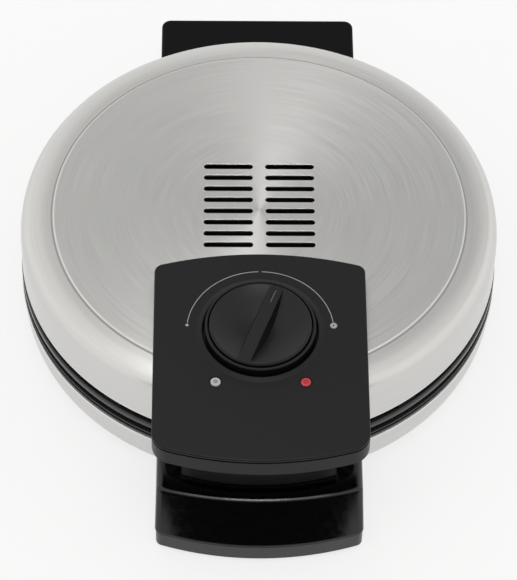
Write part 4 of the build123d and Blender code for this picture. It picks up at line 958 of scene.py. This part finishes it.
@dataclass
class Studio:
    """Pale floor, soft lights and the camera where the photograph was taken."""

    # The camera: its distance in millimetres, its height, turn and roll in degrees, pixels per millimetre at the
    # point that it aims at, and that point
    distance: float = 1400.0
    elevation: float = 51.848
    azimuth: float = -1.233
    roll: float = 1.176
    scale: float = 2.1284
    aim: Point3 = (-0.33, -34.22 + AXIS_Y, 56.0)
    # Width of its sensor in millimetres, and how far it sees in metres
    sensor: float = 36.0
    reach: float = 50.0
    # The floor: half its width, how far it lies below the pads, its glow, colours and finish
    floor_half: float = 4000.0
    floor_drop: float = 0.2
    floor_glow: float = 0.74
    floor_dark: str = "747474"
    floor_light: str = "777776"
    floor_grain: float = 300.0
    floor_roughness: float = 0.85
    floor_specular: float = 0.2
    # The room: its colour and light, and the colour of the plain backdrop
    room_colour: str = "F6F6F5"
    backdrop: str = "F2F2F1"
    room_light: float = 1.15
    # The dimmer part high on the rear wall: its light, the way to it, and the cosines where it starts and is full
    wall_light: float = 0.46
    wall_way: Point3 = (0.1, 0.64, 0.762)
    wall_edge: Point2 = (0.92, 0.995)
    # The dark part low behind the camera, wider than it is high: the same, and how much it is drawn out sideways
    dark_light: float = 0.02
    dark_way: Point3 = (0.0, -0.985, 0.17)
    dark_edge: Point2 = (0.84, 0.93)
    dark_spread: float = 0.55
    softboxes: tuple[Softbox, ...] = (
        Softbox("overhead_softbox", (-0.12, 0.5, 1.85), (0.0, 0.0, 0.0), (0.24, 0.5), 2.2),
        Softbox("front_softbox", (0.0, -0.85, 1.75), (0.0, -0.15, 0.0), (0.9, 0.36), 4.2),
        Softbox("strip_softbox", (0.0, -0.8, 1.6), (0.0, -0.15, 0.0), (0.32, 0.1), 2.4),
    )

    def camera(self) -> bpy.types.Object:
        """Sets the camera up.

        Returns:
            The camera.
        """
        az, el, roll = (math.radians(v) for v in (self.azimuth, self.elevation, self.roll))
        back = Vector((math.sin(az) * math.cos(el), -math.cos(az) * math.cos(el), math.sin(el)))
        right = (-back).cross(Vector((0, 0, 1))).normalized()
        up = right.cross(-back)
        turned_right = math.cos(roll) * right + math.sin(roll) * up
        turned_up = -math.sin(roll) * right + math.cos(roll) * up
        place = (Vector(self.aim) + self.distance * back) * MM
        data = bpy.data.cameras.new("photo_camera")
        data.sensor_width = self.sensor
        data.lens = data.sensor_width * self.scale * self.distance / PHOTO_HEIGHT
        data.clip_end = self.reach
        camera = bpy.data.objects.new("photo_camera", data)
        turn = Matrix((turned_right, turned_up, back)).transposed().to_4x4()
        camera.matrix_world = Matrix.Translation(place) @ turn
        bpy.context.scene.collection.objects.link(camera)
        bpy.context.scene.camera = camera
        return camera

    def floor(self) -> bpy.types.Object:
        """Lays the floor.

        Returns:
            The floor.
        """
        mesh = bmesh.new()
        bmesh.ops.create_grid(mesh, x_segments=1, y_segments=1, size=self.floor_half * MM)
        data = bpy.data.meshes.new("floor")
        mesh.to_mesh(data)
        mesh.free()
        floor = bpy.data.objects.new("floor", data)
        floor.location.z = -self.floor_drop * MM
        bpy.context.scene.collection.objects.link(floor)
        material, tree, shader = new_surface("opal_acrylic_light_table", Roughness=self.floor_roughness,
                                             Specular_IOR_Level=self.floor_specular,
                                             Emission_Color=to_linear("FFFFFF"), Emission_Strength=self.floor_glow)
        colour = tint(tree, grain(tree, self.floor_grain), self.floor_dark, self.floor_light)
        tree.links.new(colour, shader.inputs["Base Color"])
        data.materials.append(material)
        return floor

    def hang(self, box: Softbox) -> bpy.types.Object:
        """Hangs one softbox.

        Args:
            box: Its place, size and power.

        Returns:
            The light.
        """
        data = bpy.data.lights.new(box.name, "AREA")
        data.shape = "RECTANGLE"
        data.size = box.size[0]
        data.size_y = box.size[1]
        data.energy = box.power
        light = bpy.data.objects.new(box.name, data)
        light.location = box.place
        light.rotation_euler = (Vector(box.aim) - Vector(box.place)).to_track_quat("-Z", "Y").to_euler()
        bpy.context.scene.collection.objects.link(light)
        return light

    def patch(self, tree: bpy.types.NodeTree, way: bpy.types.NodeSocket, middle: Point3, edge: Point2,
              inside: float, outside: float | bpy.types.NodeSocket) -> bpy.types.NodeSocket:
        """Gives a round part of the room another light.

        Args:
            tree: The room's node tree.
            way: The way that is looked, of length 1.
            middle: The way to the part's middle.
            edge: The cosines from the middle where the change starts and is full.
            inside: The part's light.
            outside: The light round it.

        Returns:
            The socket with the light of both.
        """
        lean = add_node(tree, "ShaderNodeVectorMath", {1: middle}, {0: way}, operation="DOT_PRODUCT")
        settings = {"From Min": edge[0], "From Max": edge[1], "To Max": inside}
        links = {"Value": lean.outputs["Value"]}
        # A light round it that comes from other nodes is linked, and a plain number is set.
        (settings if isinstance(outside, float) else links)["To Min"] = outside
        share = add_node(tree, "ShaderNodeMapRange", settings, links, interpolation_type="SMOOTHSTEP")
        return share.outputs["Result"]

    def surroundings(self) -> None:
        """Makes the room: bright, dimmer high on its rear wall, dark behind the camera, plain where it is seen."""
        world = bpy.data.worlds.new("studio")
        world.use_nodes = True
        tree = world.node_tree
        tree.nodes.clear()
        place = add_node(tree, "ShaderNodeTexCoord")
        way = add_node(tree, "ShaderNodeVectorMath", links={0: place.outputs["Generated"]}, operation="NORMALIZE")
        light = self.patch(tree, way.outputs["Vector"], self.wall_way, self.wall_edge, self.wall_light,
                           self.room_light)
        squeezed = add_node(tree, "ShaderNodeVectorMath", {1: (self.dark_spread, 1.0, 1.0)},
                            {0: way.outputs["Vector"]}, operation="MULTIPLY")
        squeezed = add_node(tree, "ShaderNodeVectorMath", links={0: squeezed.outputs["Vector"]},
                            operation="NORMALIZE")
        light = self.patch(tree, squeezed.outputs["Vector"], self.dark_way, self.dark_edge, self.dark_light, light)
        room = add_node(tree, "ShaderNodeBackground", {"Color": to_linear(self.room_colour)}, {"Strength": light})
        seen = add_node(tree, "ShaderNodeBackground", {"Color": to_linear(self.backdrop), "Strength": 1.0})
        path = add_node(tree, "ShaderNodeLightPath")
        either = add_node(tree, "ShaderNodeMixShader",
                          links={0: path.outputs["Is Camera Ray"], 1: room.outputs[0], 2: seen.outputs[0]})
        add_node(tree, "ShaderNodeOutputWorld", links={"Surface": either.outputs[0]})
        bpy.context.scene.world = world

    def build(self) -> None:
        """Makes the floor, the lights, the surroundings and the camera."""
        bpy.context.scene.view_settings.view_transform = "Standard"
        self.surroundings()
        self.floor()
        for box in self.softboxes:
            self.hang(box)
        self.camera()
        log.info("studio: floor, %d softboxes and camera", len(self.softboxes))


def main() -> None:
    """Dresses the machine and sets the studio up."""
    paint = Paintbox()
    for group in (SteelShells, HeatingHalves, FrontLeg, RearHinge, ControlPanel, Knob, Screws):
        group(paint).build()
    Studio().build()


if __name__ == "__main__":
    main()
